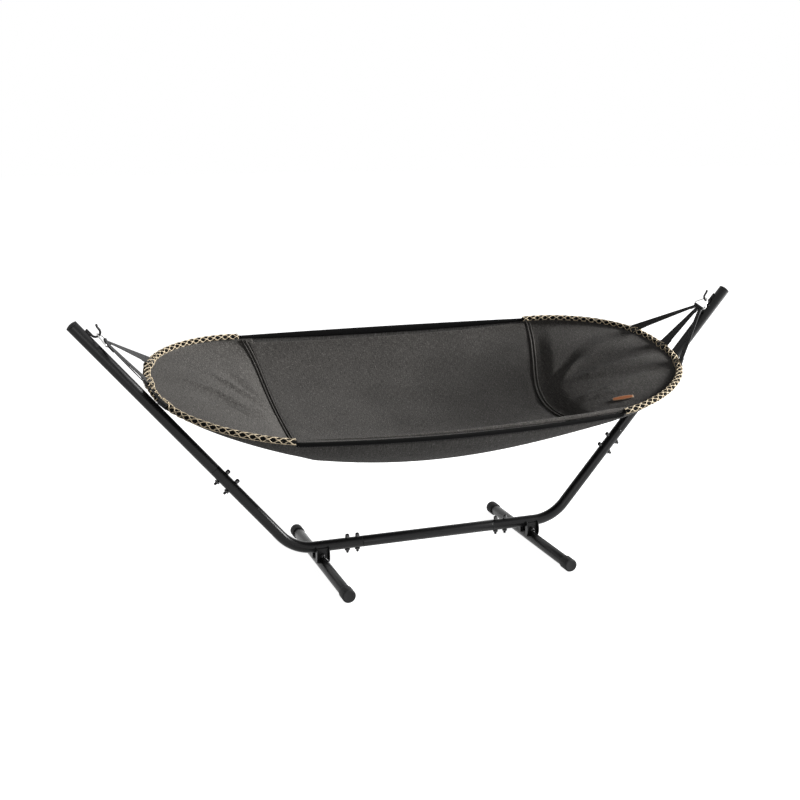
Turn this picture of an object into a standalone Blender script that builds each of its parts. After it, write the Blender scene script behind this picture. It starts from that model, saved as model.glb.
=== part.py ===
"""Cat hammock: a cloth bed on two laced bows, hung on webbing from a bolted tube stand.

Lengths are metres and angles degrees. X runs from post to post, +Y is the back, +Z is up
and the floor is z = 0. The stand lies in one upright plane; the bed swings on its two hooks
and is drawn a little tipped towards the front.
"""

import bisect
import math

import bmesh
import bpy
from mathutils import Matrix, Vector

# Stand tube
TUBE_RADIUS = 0.0080
TUBE_WALL = 0.0012
TUBE_SIDES = 16
TUBE_EDGE = 0.0004
SWAGE = 0.0016
GAP = 0.0003
WELD = 0.00001

# Stand outline, measured on the tubes' axes from the sharp corner of base and post
POST_ANGLE = 49.9
CORNER_X = 0.201
POST_END = 0.4372
ARM_JOINT = 0.169
BASE_JOINT = 0.101
BEND_RADIUS = 0.064
BEND_STEPS = 6
SPIGOT_LENGTH = 0.046
SPIGOT_RADIUS = 0.0064
SPIGOT_BORE = 0.0052
POST_CAP_DOME = 0.0026
POST_CAP_RIM = 0.0006
POST_CAP_DEPTH = 0.0080

# Feet and their caps
FOOT_X = 0.1628
FOOT_HALF_LENGTH = 0.1347
FOOT_DROP = 0.0217
FOOT_CAP_RADIUS = 0.0094
FOOT_CAP_LENGTH = 0.0180
FOOT_CAP_FACE = 0.0025
FOOT_CAP_FLAT = 0.0005
FOOT_CAP_EDGE = 0.0016

# Where the stand's plane and base axis lie in the object's frame
STAND_Y = -0.0215
BASE_Z = FOOT_DROP + FOOT_CAP_RADIUS - FOOT_CAP_FLAT

# Bolts: joint bolts sit at these distances from the joint line
BOLT_RADIUS = 0.0020
BOLT_HOLE = 0.0023
BOLT_HEAD_RADIUS = 0.0031
BOLT_HEAD_HEIGHT = 0.0055
BOLT_TAIL = 0.0040
BOLT_POINT = 0.0008
HOLE_REACH = 0.0200
ARM_BOLTS = (0.017, 0.036)
BASE_BOLTS = (0.007, 0.022)
NUT_RADIUS = 0.0040
NUT_HEIGHT = 0.0024
NUT_BORE = 0.0025
SADDLE_NUT_RADIUS = 0.0036

# Saddle halves, either side of the base tube above each foot
SADDLE_HALF_WIDTH = 0.0083
RIB_THICKNESS = 0.0013
WEB_THICKNESS = 0.0020
RIB_TOP = 0.0024
RIB_REACH = 0.0164
RIB_WIDEST = -0.0100
RIB_FOOT = -0.0200
RIB_FOOT_DEPTH = 0.0045
ARCH_SWEEP = 62.0

# Hooks, measured down the post from its end and inwards from its axis
HOOK_WIRE = 0.0015
HOOK_LEG = 0.0098
HOOK_BEND = 0.0059
HOOK_WELD_TOP = 0.0155
HOOK_TIP = 0.0190
HOOK_BOTTOM = 0.0317
HOOK_FLARE = 0.0016

# Bed outline, from the line through the two hooks; the bed is drawn tipped by SWING
SWING = 13.1
SEAM_X = 0.2311
SEAM_Y = 0.1687
SEAM_DROP = 0.0868
TIP_X = 0.3885
TIP_DROP = 0.0714
BOW_X_POWER = 1.30
BOW_Y_POWER = 0.83
HEM_BOW = 0.010
HEM_SAG = 0.004

# The bed's lowest line: a curve under the middle and a rising run to each bow
KEEL_DROP = 0.1782
KEEL_CURVE = 0.8225
KEEL_LEAN = 0.060
KEEL_BREAK = 0.199
KEEL_BLEND = 0.012
KEEL_LIFT = 0.0070

# Bows and their lacing
BOW_RADIUS = 0.0029
BOW_STEPS = 26
BOW_END = 0.0004
CORD_RADIUS = 0.00115
CORD_POINTS = 8
LOOPS_TO_STRAP = 9
LOOPS_BETWEEN_STRAPS = 3
CORD_CROSSING_ANGLE = 160.0
CORD_END = 0.0030
CORD_CLIMB = 0.0040

# Soft folds in the bed's ends, fanning out from the middle of each seam
FOLD_START = 0.205
FOLD_GROWTH = 0.060
FOLD_RISE = 0.0022
FOLD_PERIOD = 40.0
FOLD_AIM = 6.0
FOLD_FAN = 44.0

# Cloth
CLOTH = 0.0025
EDGE_DROP = 0.0073
PANEL_THICKNESS = 0.0040
PANEL_CLEARANCE = 0.0014
PANEL_END_X = 0.2291
PANEL_END_BOW = 0.030
WELT_RADIUS = 0.0019
WELT_BESIDE = 0.0032
HEM_HEIGHT = 0.0082
HEM_THICKNESS = 0.0045
HEM_CORNER = 0.0010
HEM_END_X = 0.2299
HEM_STEPS = 12
CLOTH_END_X = 0.2215
CLOTH_END_BOW = 0.0225
CLOTH_GAP = 0.0006
CLOTH_ACROSS = 18
CLOTH_ALONG = 8
CLOTH_ROWS = 7
PANEL_ACROSS = 18
PANEL_ALONG = 10
WELT_REACH = 77.0
WELT_STEPS = 16

# Rings and webbing straps
RING_WIRE = 0.0010
RING_APEX_RADIUS = 0.0040
RING_CORNER_RADIUS = 0.0030
RING_HALF_WIDTH = 0.0132
RING_LENGTH = 0.0135
STRAP_THICKNESS = 0.0010
STRAP_BORE = 0.0037
STRAP_WIDTH = 0.0180
STRAP_RING_WIDTH = 0.0058
STRAP_SPREAD = 0.0660
STRAP_LEAVE = 0.0056
STRAP_TAIL = 0.0150
STRAP_RING_LEAVE = 0.0032
STRAP_RING_TAIL = 0.0120
STRAP_STATIONS = (0.30, 0.45, 0.60, 0.75)
RING_SPACING = 0.0070

# Label tab on the cloth
LABEL_SIZE = (0.028, 0.012, 0.0012)
LABEL_PLACE = (0.265, -0.111)
LABEL_TURN = -23.0
LABEL_LIFT = 0.0013
LABEL_EDGE = 0.0003

PALETTE = {
    "powder_coat": ((0.012, 0.012, 0.013), 0.42, 0.6),
    "plastic": ((0.020, 0.020, 0.021), 0.60, 0.0),
    "bolt_steel": ((0.016, 0.016, 0.017), 0.35, 0.8),
    "ring_steel": ((0.620, 0.620, 0.610), 0.22, 1.0),
    "webbing": ((0.022, 0.022, 0.023), 0.85, 0.0),
    "binding": ((0.010, 0.010, 0.010), 0.90, 0.0),
    "cord": ((0.640, 0.540, 0.380), 0.80, 0.0),
    "outer_cloth": ((0.060, 0.058, 0.055), 0.92, 0.0),
    "inner_cloth": ((0.085, 0.080, 0.075), 0.92, 0.0),
    "label": ((0.480, 0.150, 0.050), 0.70, 0.0),
}


def clear_scene():
    for obj in list(bpy.data.objects):
        bpy.data.objects.remove(obj, do_unlink=True)


def make_collection(name):
    collection = bpy.data.collections.new(name)
    bpy.context.scene.collection.children.link(collection)
    return collection


clear_scene()
PARTS = make_collection("cat_hammock")
CUTTERS = make_collection("cutters")


def material_for(name, finish):
    """A material of the piece's own, in one of the palette's finishes."""
    colour, roughness, metallic = PALETTE[finish]
    material = bpy.data.materials.new(name)
    material.use_nodes = True
    shader = material.node_tree.nodes["Principled BSDF"]
    shader.inputs["Base Color"].default_value = (*colour, 1.0)
    shader.inputs["Roughness"].default_value = roughness
    shader.inputs["Metallic"].default_value = metallic
    return material


def add_piece(name, data, finish, matrix=Matrix(), parent=None):
    """Links a mesh or curve as a named piece; the matrix is in the parent's frame."""
    piece = bpy.data.objects.new(name, data)
    PARTS.objects.link(piece)
    piece.parent = parent
    piece.matrix_local = matrix
    piece.data.materials.clear()
    piece.data.materials.append(material_for(name, finish))
    return piece


def add_cutter(name, data, matrix=Matrix()):
    cutter = bpy.data.objects.new(name, data)
    CUTTERS.objects.link(cutter)
    cutter.matrix_world = matrix
    cutter.hide_render = True
    cutter.display_type = "WIRE"
    return cutter


def boolean(piece, other, operation="DIFFERENCE"):
    modifier = piece.modifiers.new(operation.lower(), "BOOLEAN")
    modifier.operation = operation
    modifier.solver = "EXACT"
    modifier.object = other


def solidify(piece, thickness, offset=0.0):
    modifier = piece.modifiers.new("thickness", "SOLIDIFY")
    modifier.thickness = thickness
    modifier.offset = offset
    modifier.use_even_offset = True


def bake(obj):
    """The evaluated mesh of a helper object, with any loose caps welded on."""
    bpy.context.view_layer.update()
    depsgraph = bpy.context.evaluated_depsgraph_get()
    mesh = bpy.data.meshes.new_from_object(obj.evaluated_get(depsgraph))
    bm = bmesh.new()
    bm.from_mesh(mesh)
    bmesh.ops.remove_doubles(bm, verts=bm.verts, dist=WELD / 10)
    bm.to_mesh(mesh)
    bm.free()
    bpy.data.objects.remove(obj, do_unlink=True)
    return mesh


def smooth(mesh, angle=35.0):
    mesh.shade_smooth()
    mesh.set_sharp_from_angle(angle=math.radians(angle))
    return mesh


def turned_mesh(name, profile, steps, closed):
    """A profile of (radius, height) pairs turned about Z."""
    mesh = bpy.data.meshes.new(name)
    count = len(profile)
    edges = [(i, i + 1) for i in range(count - 1)]
    if closed:
        edges.append((count - 1, 0))
    mesh.from_pydata([(r, 0.0, z) for r, z in profile], edges, [])
    helper = add_cutter(name, mesh)
    screw = helper.modifiers.new("turn", "SCREW")
    screw.steps = steps
    screw.render_steps = steps
    screw.use_merge_vertices = True
    screw.merge_threshold = WELD
    screw.use_normal_calculate = False
    return smooth(bake(helper))


def swept_curve(name, points, radius, resolution, cyclic=False, caps=True):
    """A round tube along a polyline."""
    curve = bpy.data.curves.new(name, "CURVE")
    curve.dimensions = "3D"
    curve.bevel_depth = radius
    curve.bevel_resolution = resolution
    curve.use_fill_caps = caps
    spline = curve.splines.new("POLY")
    spline.points.add(len(points) - 1)
    for point, place in zip(spline.points, points):
        point.co = (*place, 1.0)
    spline.use_cyclic_u = cyclic
    return curve


def swept_mesh(name, points, radius, resolution, cyclic=False, caps=True):
    curve = swept_curve(name, points, radius, resolution, cyclic, caps)
    return smooth(bake(add_cutter(name, curve)), 50.0)


def plate_mesh(name, outlines, thickness):
    """A flat plate in the XY plane; the first outline is its edge, the others are holes."""
    curve = bpy.data.curves.new(name, "CURVE")
    curve.dimensions = "2D"
    curve.fill_mode = "BOTH"
    curve.extrude = thickness / 2
    for outline in outlines:
        spline = curve.splines.new("POLY")
        spline.points.add(len(outline) - 1)
        for point, (x, y) in zip(spline.points, outline):
            point.co = (x, y, 0.0, 1.0)
        spline.use_cyclic_u = True
    return bake(add_cutter(name, curve))


def grid_mesh(name, rows, closed=False):
    """An open surface through rows of points; closed joins the last column to the first."""
    columns = len(rows[0])
    mesh = bpy.data.meshes.new(name)
    faces = []
    last = columns if closed else columns - 1
    for r in range(len(rows) - 1):
        for c in range(last):
            a = r * columns + c
            b = r * columns + (c + 1) % columns
            faces.append((a, b, b + columns, a + columns))
    mesh.from_pydata([p for row in rows for p in row], [], faces)
    return mesh


def arc(centre, radius, start, end, steps):
    """Points of a planar arc, from one angle to another."""
    turn = (end - start) / steps
    angles = [math.radians(start + turn * i) for i in range(steps + 1)]
    return [(centre[0] + radius * math.cos(a), centre[1] + radius * math.sin(a)) for a in angles]


def smoothstep(low, high, value):
    t = min(max((value - low) / (high - low), 0.0), 1.0)
    return t * t * (3.0 - 2.0 * t)


# Stand

SIDES = {"left": -1, "right": 1}


def stand_place(x, y=0.0, z=0.0):
    """A point given from the middle of the base tube's axis."""
    return Vector((x, STAND_Y + y, BASE_Z + z))


def arm_place(side, along, inward=0.0):
    """A point by a post: along its axis from the corner, and inwards from the axis."""
    angle = math.radians(POST_ANGLE)
    x = CORNER_X + along * math.cos(angle) - inward * math.sin(angle)
    z = along * math.sin(angle) + inward * math.cos(angle)
    return stand_place(side * x, 0.0, z)


def arm_matrix(side, along=0.0):
    """Local Z runs up the post, from a point on its axis."""
    tilt = Matrix.Rotation(math.radians(side * (90.0 - POST_ANGLE)), 4, "Y")
    return Matrix.Translation(arm_place(side, along)) @ tilt


def tube_profile(low, high, low_spigot, high_spigot):
    """Closed profile of a straight tube whose ends may be drawn down to a spigot."""
    bore = TUBE_RADIUS - TUBE_WALL
    shoulder = TUBE_RADIUS - TUBE_EDGE
    if high_spigot:
        tip = high + SPIGOT_LENGTH
        outer = [(SPIGOT_RADIUS, tip), (SPIGOT_RADIUS, high), (shoulder, high),
                 (TUBE_RADIUS, high - TUBE_EDGE)]
        inner = [(bore, high - SWAGE), (SPIGOT_BORE, high), (SPIGOT_BORE, tip)]
    else:
        outer = [(TUBE_RADIUS, high)]
        inner = [(bore, high)]
    if low_spigot:
        tip = low - SPIGOT_LENGTH
        outer += [(TUBE_RADIUS, low + TUBE_EDGE), (shoulder, low), (SPIGOT_RADIUS, low),
                  (SPIGOT_RADIUS, tip)]
        inner = [(SPIGOT_BORE, tip), (SPIGOT_BORE, low), (bore, low + SWAGE)] + inner
    else:
        outer += [(TUBE_RADIUS, low)]
        inner = [(bore, low)] + inner
    return outer + inner


def bolt_mesh(name, grip):
    """Domed head above z = 0 and a shank that runs down through the grip."""
    dome = arc((0.0, BOLT_HEAD_HEIGHT - BOLT_HEAD_RADIUS), BOLT_HEAD_RADIUS, 90.0, 0.0, 3)
    dome[0] = (0.0, BOLT_HEAD_HEIGHT)
    end = grip + BOLT_TAIL
    shank = [(BOLT_HEAD_RADIUS, 0.0), (BOLT_RADIUS, 0.0), (BOLT_RADIUS, BOLT_POINT - end),
             (BOLT_RADIUS - BOLT_POINT, -end), (0.0, -end)]
    return turned_mesh(name, dome + shank, 10, closed=False)


def nut_mesh(radius):
    """A hexagon nut standing on z = 0."""
    profile = [(radius, NUT_HEIGHT), (radius, 0.0), (NUT_BORE, 0.0), (NUT_BORE, NUT_HEIGHT)]
    mesh = turned_mesh("nut", profile, 6, closed=True)
    return smooth(mesh, 20.0)


def hole_mesh():
    """The round cutter of a bolt's hole, along Z."""
    profile = [(0.0, HOLE_REACH), (BOLT_HOLE, HOLE_REACH), (BOLT_HOLE, -HOLE_REACH), (0.0, -HOLE_REACH)]
    return turned_mesh("bolt_hole", profile, 10, closed=False)


def make_bend(name, side):
    """The bent tube from the base joint round to the arm joint, open at both ends."""
    start_x = CORNER_X - BEND_RADIUS * math.tan(math.radians(POST_ANGLE / 2))
    points = [stand_place(side * (BASE_JOINT + GAP))]
    for x, z in arc((start_x, BEND_RADIUS), BEND_RADIUS, -90.0, POST_ANGLE - 90.0, BEND_STEPS):
        points.append(stand_place(side * x, 0.0, z))
    points.append(arm_place(side, ARM_JOINT - GAP))
    resolution = TUBE_SIDES // 2 - 2
    mesh = swept_mesh(name, points, TUBE_RADIUS, resolution, caps=False)
    bend = add_piece(name, mesh, "powder_coat")
    solidify(bend, TUBE_WALL, -1.0)
    return bend


def make_bolted_joints(pieces):
    """Two bolts with nuts through each of the four joints, and their holes in both tubes."""
    grip = 2 * (TUBE_RADIUS + GAP) + NUT_HEIGHT
    bolt = bolt_mesh("joint_bolt", grip - NUT_HEIGHT)
    nut = nut_mesh(NUT_RADIUS)
    hole = hole_mesh()
    down = Matrix.Translation((0.0, 0.0, -TUBE_RADIUS - GAP - NUT_HEIGHT))
    up = Matrix.Translation((0.0, 0.0, TUBE_RADIUS + GAP))
    for word, side in SIDES.items():
        turn = Matrix.Rotation(math.radians(-side * POST_ANGLE), 4, "Y")
        arm = [Matrix.Translation(arm_place(side, ARM_JOINT - d)) @ turn for d in ARM_BOLTS]
        base = [Matrix.Translation(stand_place(side * (BASE_JOINT + d))) for d in BASE_BOLTS]
        for joint, through, places in (("post", pieces[f"post_{word}"], arm),
                                       ("base", pieces["base_tube"], base)):
            for number, place in enumerate(places, 1):
                label = f"{joint}_{word}_{number}"
                cutter = add_cutter(f"hole_{label}", hole, place)
                boolean(pieces[f"bend_{word}"], cutter)
                boolean(through, cutter)
                add_piece(f"bolt_{label}", bolt.copy(), "bolt_steel", place @ up)
                add_piece(f"nut_{label}", nut.copy(), "bolt_steel", place @ down)


def make_hook(name, side):
    """A wire U welded to the post's inner face, its mouth towards the post's top."""
    bottom = POST_END - HOOK_BOTTOM
    centre = (bottom + HOOK_BEND, HOOK_LEG + HOOK_BEND)
    legs = [(POST_END - HOOK_WELD_TOP, HOOK_LEG)]
    legs += arc(centre, HOOK_BEND, 270.0, 90.0, 10)
    outer = HOOK_LEG + 2 * HOOK_BEND
    legs.append(((centre[0] + POST_END - HOOK_TIP) / 2, outer + 0.2 * HOOK_FLARE))
    legs.append((POST_END - HOOK_TIP, outer + HOOK_FLARE))
    points = [arm_place(side, along, inward) for along, inward in legs]
    return add_piece(name, swept_mesh(name, points, HOOK_WIRE, 2), "powder_coat")


def make_foot_cap(name, x, y_side, floor):
    """A plastic cup over a foot tube's end, with a small flat to stand on."""
    radius = FOOT_CAP_RADIUS
    bore = TUBE_RADIUS + GAP
    corner = (radius - FOOT_CAP_EDGE, -FOOT_CAP_EDGE)
    profile = [(0.0, 0.0)] + arc(corner, FOOT_CAP_EDGE, 90.0, 0.0, 2)
    profile += [(radius, -FOOT_CAP_LENGTH), (bore, -FOOT_CAP_LENGTH),
                (bore, -FOOT_CAP_FACE), (0.0, -FOOT_CAP_FACE)]
    mesh = turned_mesh(name, profile, 16, closed=False)
    reach = FOOT_HALF_LENGTH + GAP + FOOT_CAP_FACE
    outward = Matrix.Rotation(math.radians(-90.0 * y_side), 4, "X")
    place = Matrix.Translation(stand_place(x, y_side * reach, -FOOT_DROP)) @ outward
    boolean(add_piece(name, mesh, "plastic", place), floor)


def rib_outline(inner):
    """Side of a saddle's rib: a round belly that runs in to a short foot."""
    deep = RIB_REACH - inner
    tall = RIB_TOP - RIB_WIDEST
    belly = [math.radians(angle) for angle in (85.0, 62.0, 40.0, 20.0, 0.0, -20.0, -35.0)]
    outline = [(inner, RIB_TOP)]
    outline += [(inner + deep * math.cos(a), RIB_WIDEST + tall * math.sin(a)) for a in belly]
    outline += [(inner + RIB_FOOT_DEPTH, RIB_FOOT), (inner, RIB_FOOT)]
    return outline


def make_saddle_half(name, x, y_side):
    """A pressed web against the base tube, arched over the foot, with a rib at each edge."""
    inner = TUBE_RADIUS + GAP
    rib_place = SADDLE_HALF_WIDTH + RIB_THICKNESS / 2
    arch = arc((0.0, -FOOT_DROP), inner, 90.0 - ARCH_SWEEP, 90.0 + ARCH_SWEEP, 8)
    low = arch[0][1]
    web = [(rib_place, 0.0), (rib_place, low)] + arch + [(-rib_place, low), (-rib_place, 0.0)]
    upright = Matrix.Rotation(math.radians(90.0), 4, "X")
    place = Matrix.Translation(stand_place(x, y_side * (inner + WEB_THICKNESS / 2))) @ upright
    piece = add_piece(name, plate_mesh(name, [web], WEB_THICKNESS), "powder_coat", place)
    facing = Matrix(((0, 0, 1, 0), (y_side, 0, 0, 0), (0, 1, 0, 0), (0, 0, 0, 1)))
    rib = plate_mesh(f"{name}_rib", [rib_outline(inner)], RIB_THICKNESS)
    rib.transform(facing)
    if y_side > 0:
        rib.flip_normals()
    for rib_side in (-1, 1):
        spot = Matrix.Translation(stand_place(x + rib_side * rib_place))
        boolean(piece, add_cutter(f"{name}_rib", rib, spot), "UNION")
    return piece


def make_saddles():
    """The four saddle halves, each pair held by one bolt between base tube and foot."""
    hole = hole_mesh()
    low = -(TUBE_RADIUS + BOLT_RADIUS + GAP)
    reach = TUBE_RADIUS + WEB_THICKNESS + 2 * GAP
    bolt = bolt_mesh("saddle_bolt", 2 * reach)
    nut = nut_mesh(SADDLE_NUT_RADIUS)
    for word, side in SIDES.items():
        centre = Matrix.Translation(stand_place(side * FOOT_X, 0.0, low))
        forward = centre @ Matrix.Rotation(math.radians(90.0), 4, "X")
        cutter = add_cutter(f"hole_saddle_{word}", hole, forward)
        for end, y_side in (("front", -1), ("back", 1)):
            half = make_saddle_half(f"saddle_{word}_{end}", side * FOOT_X, y_side)
            boolean(half, cutter)
        lift = Matrix.Translation((0.0, 0.0, reach))
        drop = Matrix.Translation((0.0, 0.0, -reach - NUT_HEIGHT))
        add_piece(f"bolt_saddle_{word}", bolt.copy(), "bolt_steel", forward @ lift)
        add_piece(f"nut_saddle_{word}", nut.copy(), "bolt_steel", forward @ drop)


def make_floor():
    """The cutter that gives the foot caps their flats."""
    bm = bmesh.new()
    bmesh.ops.create_cube(bm, size=1.0)
    mesh = bpy.data.meshes.new("floor")
    bm.to_mesh(mesh)
    bm.free()
    return add_cutter("floor", mesh, Matrix.Translation((0.0, STAND_Y, -0.5)))


def post_cap_mesh():
    """A low dome over the post's end, with a plug inside the tube."""
    plug = TUBE_RADIUS - TUBE_WALL - 2 * GAP
    rise = POST_CAP_DOME - POST_CAP_RIM
    profile = [(TUBE_RADIUS * share, POST_CAP_RIM + rise * (1.0 - share * share))
               for share in (0.0, 0.5, 0.8, 1.0)]
    profile += [(TUBE_RADIUS, 0.0), (plug, 0.0), (plug, -POST_CAP_DEPTH), (0.0, -POST_CAP_DEPTH)]
    return turned_mesh("post_cap", profile, TUBE_SIDES, closed=False)


def tube_mesh(name, low, high, low_spigot, high_spigot):
    profile = tube_profile(low, high, low_spigot, high_spigot)
    return turned_mesh(name, profile, TUBE_SIDES, closed=True)


def make_stand():
    base = tube_mesh("base_tube", -BASE_JOINT, BASE_JOINT, True, True)
    post = tube_mesh("post", ARM_JOINT, POST_END, True, False)
    foot = tube_mesh("foot", -FOOT_HALF_LENGTH, FOOT_HALF_LENGTH, False, False)
    cap = post_cap_mesh()
    floor = make_floor()
    sideways = Matrix.Rotation(math.radians(90.0), 4, "Y")
    forward = Matrix.Rotation(math.radians(90.0), 4, "X")
    place = Matrix.Translation(stand_place(0.0)) @ sideways
    pieces = {"base_tube": add_piece("base_tube", base, "powder_coat", place)}
    for word, side in SIDES.items():
        upper = add_piece(f"post_{word}", post.copy(), "powder_coat", arm_matrix(side))
        pieces[f"post_{word}"] = upper
        pieces[f"bend_{word}"] = make_bend(f"bend_{word}", side)
        add_piece(f"post_cap_{word}", cap.copy(), "plastic", arm_matrix(side, POST_END + GAP))
        make_hook(f"hook_{word}", side)
        place = Matrix.Translation(stand_place(side * FOOT_X, 0.0, -FOOT_DROP)) @ forward
        add_piece(f"foot_{word}", foot.copy(), "powder_coat", place)
        for end, y_side in (("front", -1), ("back", 1)):
            make_foot_cap(f"foot_cap_{word}_{end}", side * FOOT_X, y_side, floor)
    make_bolted_joints(pieces)
    make_saddles()


# Bed, in a frame whose origin is on the line through the hooks, Z up when it hangs plumb

def bow_point(angle, side):
    """A point of a bow's axis; -90 and 90 are its ends at the hems and 0 is its tip."""
    a = math.radians(angle)
    reach = abs(math.cos(a)) ** BOW_X_POWER
    x = SEAM_X + (TIP_X - SEAM_X) * reach
    y = SEAM_Y * math.copysign(abs(math.sin(a)) ** BOW_Y_POWER, a)
    z = -SEAM_DROP + (SEAM_DROP - TIP_DROP) * reach
    return Vector((side * x, y, z))


class BowPath:
    """A bow's axis by length, measured from its tip towards the back."""

    def __init__(self, side):
        samples = 720
        self.side = side
        self.points = [bow_point(-90.0 + 180.0 * i / samples, side) for i in range(samples + 1)]
        self.lengths = [0.0]
        for a, b in zip(self.points, self.points[1:]):
            self.lengths.append(self.lengths[-1] + (b - a).length)
        self.half = self.lengths[-1] / 2

    def at(self, distance):
        wanted = min(max(distance + self.half, 0.0), self.lengths[-1])
        high = min(max(bisect.bisect_left(self.lengths, wanted), 1), len(self.lengths) - 1)
        low = high - 1
        share = (wanted - self.lengths[low]) / (self.lengths[high] - self.lengths[low])
        return self.points[low].lerp(self.points[high], share)

    def frame(self, distance):
        """Place, tangent towards the back, outward and upward directions."""
        step = 0.002
        tangent = (self.at(distance + step) - self.at(distance - step)).normalized()
        outward = Vector((tangent.y, -tangent.x, 0.0)).normalized() * self.side
        upward = outward.cross(tangent) * self.side
        return self.at(distance), tangent, outward, upward


def half_width(x):
    """Half the bed's width and the outline's drop at a distance from its middle."""
    x = abs(x)
    if x <= SEAM_X:
        rise = 1.0 - (x / SEAM_X) ** 2
        return SEAM_Y + HEM_BOW * rise, SEAM_DROP + HEM_SAG * rise
    reach = min((x - SEAM_X) / (TIP_X - SEAM_X), 1.0)
    cosine = reach ** (1.0 / BOW_X_POWER)
    sine = math.sqrt(max(1.0 - cosine * cosine, 0.0))
    return SEAM_Y * sine ** BOW_Y_POWER, SEAM_DROP - (SEAM_DROP - TIP_DROP) * reach


def keel_height(x):
    """Height of the cloth's lowest line at a distance from the bed's middle."""
    middle = -KEEL_DROP + KEEL_CURVE * x * x + KEEL_LEAN * x
    turn = math.copysign(KEEL_BREAK, x)
    low = -KEEL_DROP + KEEL_CURVE * turn * turn + KEEL_LEAN * turn
    high = -TIP_DROP - EDGE_DROP
    share = (abs(x) - KEEL_BREAK) / (TIP_X - KEEL_BREAK)
    end = low + (high - low) * share + 4.0 * KEEL_LIFT * share * (1.0 - share)
    blend = smoothstep(KEEL_BREAK - KEEL_BLEND, KEEL_BREAK + KEEL_BLEND, abs(x))
    return middle + (end - middle) * blend


def fold_height(x, y):
    """Rise of the soft folds, which die away at the seams and at the bows."""
    reach = abs(x) - FOLD_START
    if reach <= 0.0:
        return 0.0
    turn = math.degrees(math.atan2(y, reach)) - FOLD_AIM
    across = min(abs(y) / max(half_width(x)[0], GAP), 1.0)
    strength = smoothstep(0.0, FOLD_GROWTH, reach) * (1.0 - across * across)
    strength *= (1.0 - (x / TIP_X) ** 6) * (1.0 - smoothstep(FOLD_FAN / 2, FOLD_FAN, abs(turn)))
    return -FOLD_RISE * strength * math.cos(math.radians(360.0 * turn / FOLD_PERIOD))


def cloth_height(x, y):
    """Height of the cloth: half an ellipse across the bed, with the folds on it."""
    width, drop = half_width(x)
    edge = -drop - EDGE_DROP
    keel = keel_height(x)
    across = min(abs(y) / max(width, GAP), 1.0)
    return edge - max(edge - keel, 0.0) * math.sqrt(1.0 - across * across) + fold_height(x, y)


def cloth_seam(side, angle):
    """Where the middle cloth is sewn to an end cloth, seen from above."""
    a = math.radians(angle)
    x = side * (CLOTH_END_X - CLOTH_END_BOW * math.cos(a))
    return x, half_width(x)[0] * math.sin(a)


def add_cloth(name, rows, parent):
    """A cloth through points seen from above, hung at its height."""
    rows = [[(x, y, cloth_height(x, y)) for x, y in row] for row in rows]
    mesh = grid_mesh(name, rows)
    mesh.shade_smooth()
    cloth = add_piece(name, mesh, "outer_cloth", parent=parent)
    solidify(cloth, CLOTH)


def make_cloths(parent):
    """The hanging cloth: a middle between two seams and an end gathered to each bow."""
    angles = [-90.0 + 180.0 * i / CLOTH_ACROSS for i in range(CLOTH_ACROSS + 1)]
    rows = []
    for j in range(CLOTH_ALONG + 1):
        share = 2.0 * j / CLOTH_ALONG - 1.0
        row = []
        for angle in angles:
            x = share * cloth_seam(1, angle)[0]
            row.append((x, half_width(x)[0] * math.sin(math.radians(angle))))
        rows.append(row)
    add_cloth("cloth_middle", rows, parent)
    for word, side in SIDES.items():
        rows = []
        for j in range(CLOTH_ROWS + 1):
            reach = math.sin(math.radians(90.0 * j / CLOTH_ROWS))
            row = []
            for angle in angles:
                x, y = cloth_seam(side, angle)
                x += side * CLOTH_GAP
                edge = bow_point(angle, side)
                row.append((x + (edge.x - x) * reach, y + (edge.y - y) * reach))
            rows.append(row[::side])
        add_cloth(f"cloth_{word}", rows, parent)


def smooth_cloth(x, angle):
    """A point of the cloth without its folds; the angle runs from -90 to 90 across the bed."""
    a = math.radians(angle)
    width, drop = half_width(x)
    edge = -drop - EDGE_DROP
    return Vector((x, width * math.sin(a), edge - (edge - keel_height(x)) * math.cos(a)))


def panel_point(x_share, angle, beyond=0.0):
    """A point of the inner panel; its ends draw in towards the middle of the bed."""
    end = PANEL_END_X - PANEL_END_BOW * math.cos(math.radians(angle)) + beyond
    x = x_share * end
    step = 0.001
    turn = 0.1
    along = smooth_cloth(x + step, angle) - smooth_cloth(x - step, angle)
    across = smooth_cloth(x, angle + turn) - smooth_cloth(x, angle - turn)
    inset = CLOTH / 2 + PANEL_CLEARANCE + PANEL_THICKNESS / 2
    return smooth_cloth(x, angle) + inset * along.cross(across).normalized()


def make_panel(parent):
    """The padded middle panel, laid inside the cloth between the two seams."""
    angles = [-90.0 + 180.0 * i / PANEL_ACROSS for i in range(PANEL_ACROSS + 1)]
    shares = [-1.0 + 2.0 * j / PANEL_ALONG for j in range(PANEL_ALONG + 1)]
    rows = [[panel_point(share, angle) for angle in angles] for share in shares]
    mesh = grid_mesh("inner_panel", rows)
    mesh.shade_smooth()
    panel = add_piece("inner_panel", mesh, "inner_cloth", parent=parent)
    solidify(panel, PANEL_THICKNESS)
    for word, side in SIDES.items():
        angles = [WELT_REACH * (2.0 * i / WELT_STEPS - 1.0) for i in range(WELT_STEPS + 1)]
        points = [panel_point(side, angle, WELT_BESIDE) for angle in angles]
        mesh = swept_mesh(f"welt_{word}", points, WELT_RADIUS, 1)
        add_piece(f"welt_{word}", mesh, "inner_cloth", parent=parent)


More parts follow.
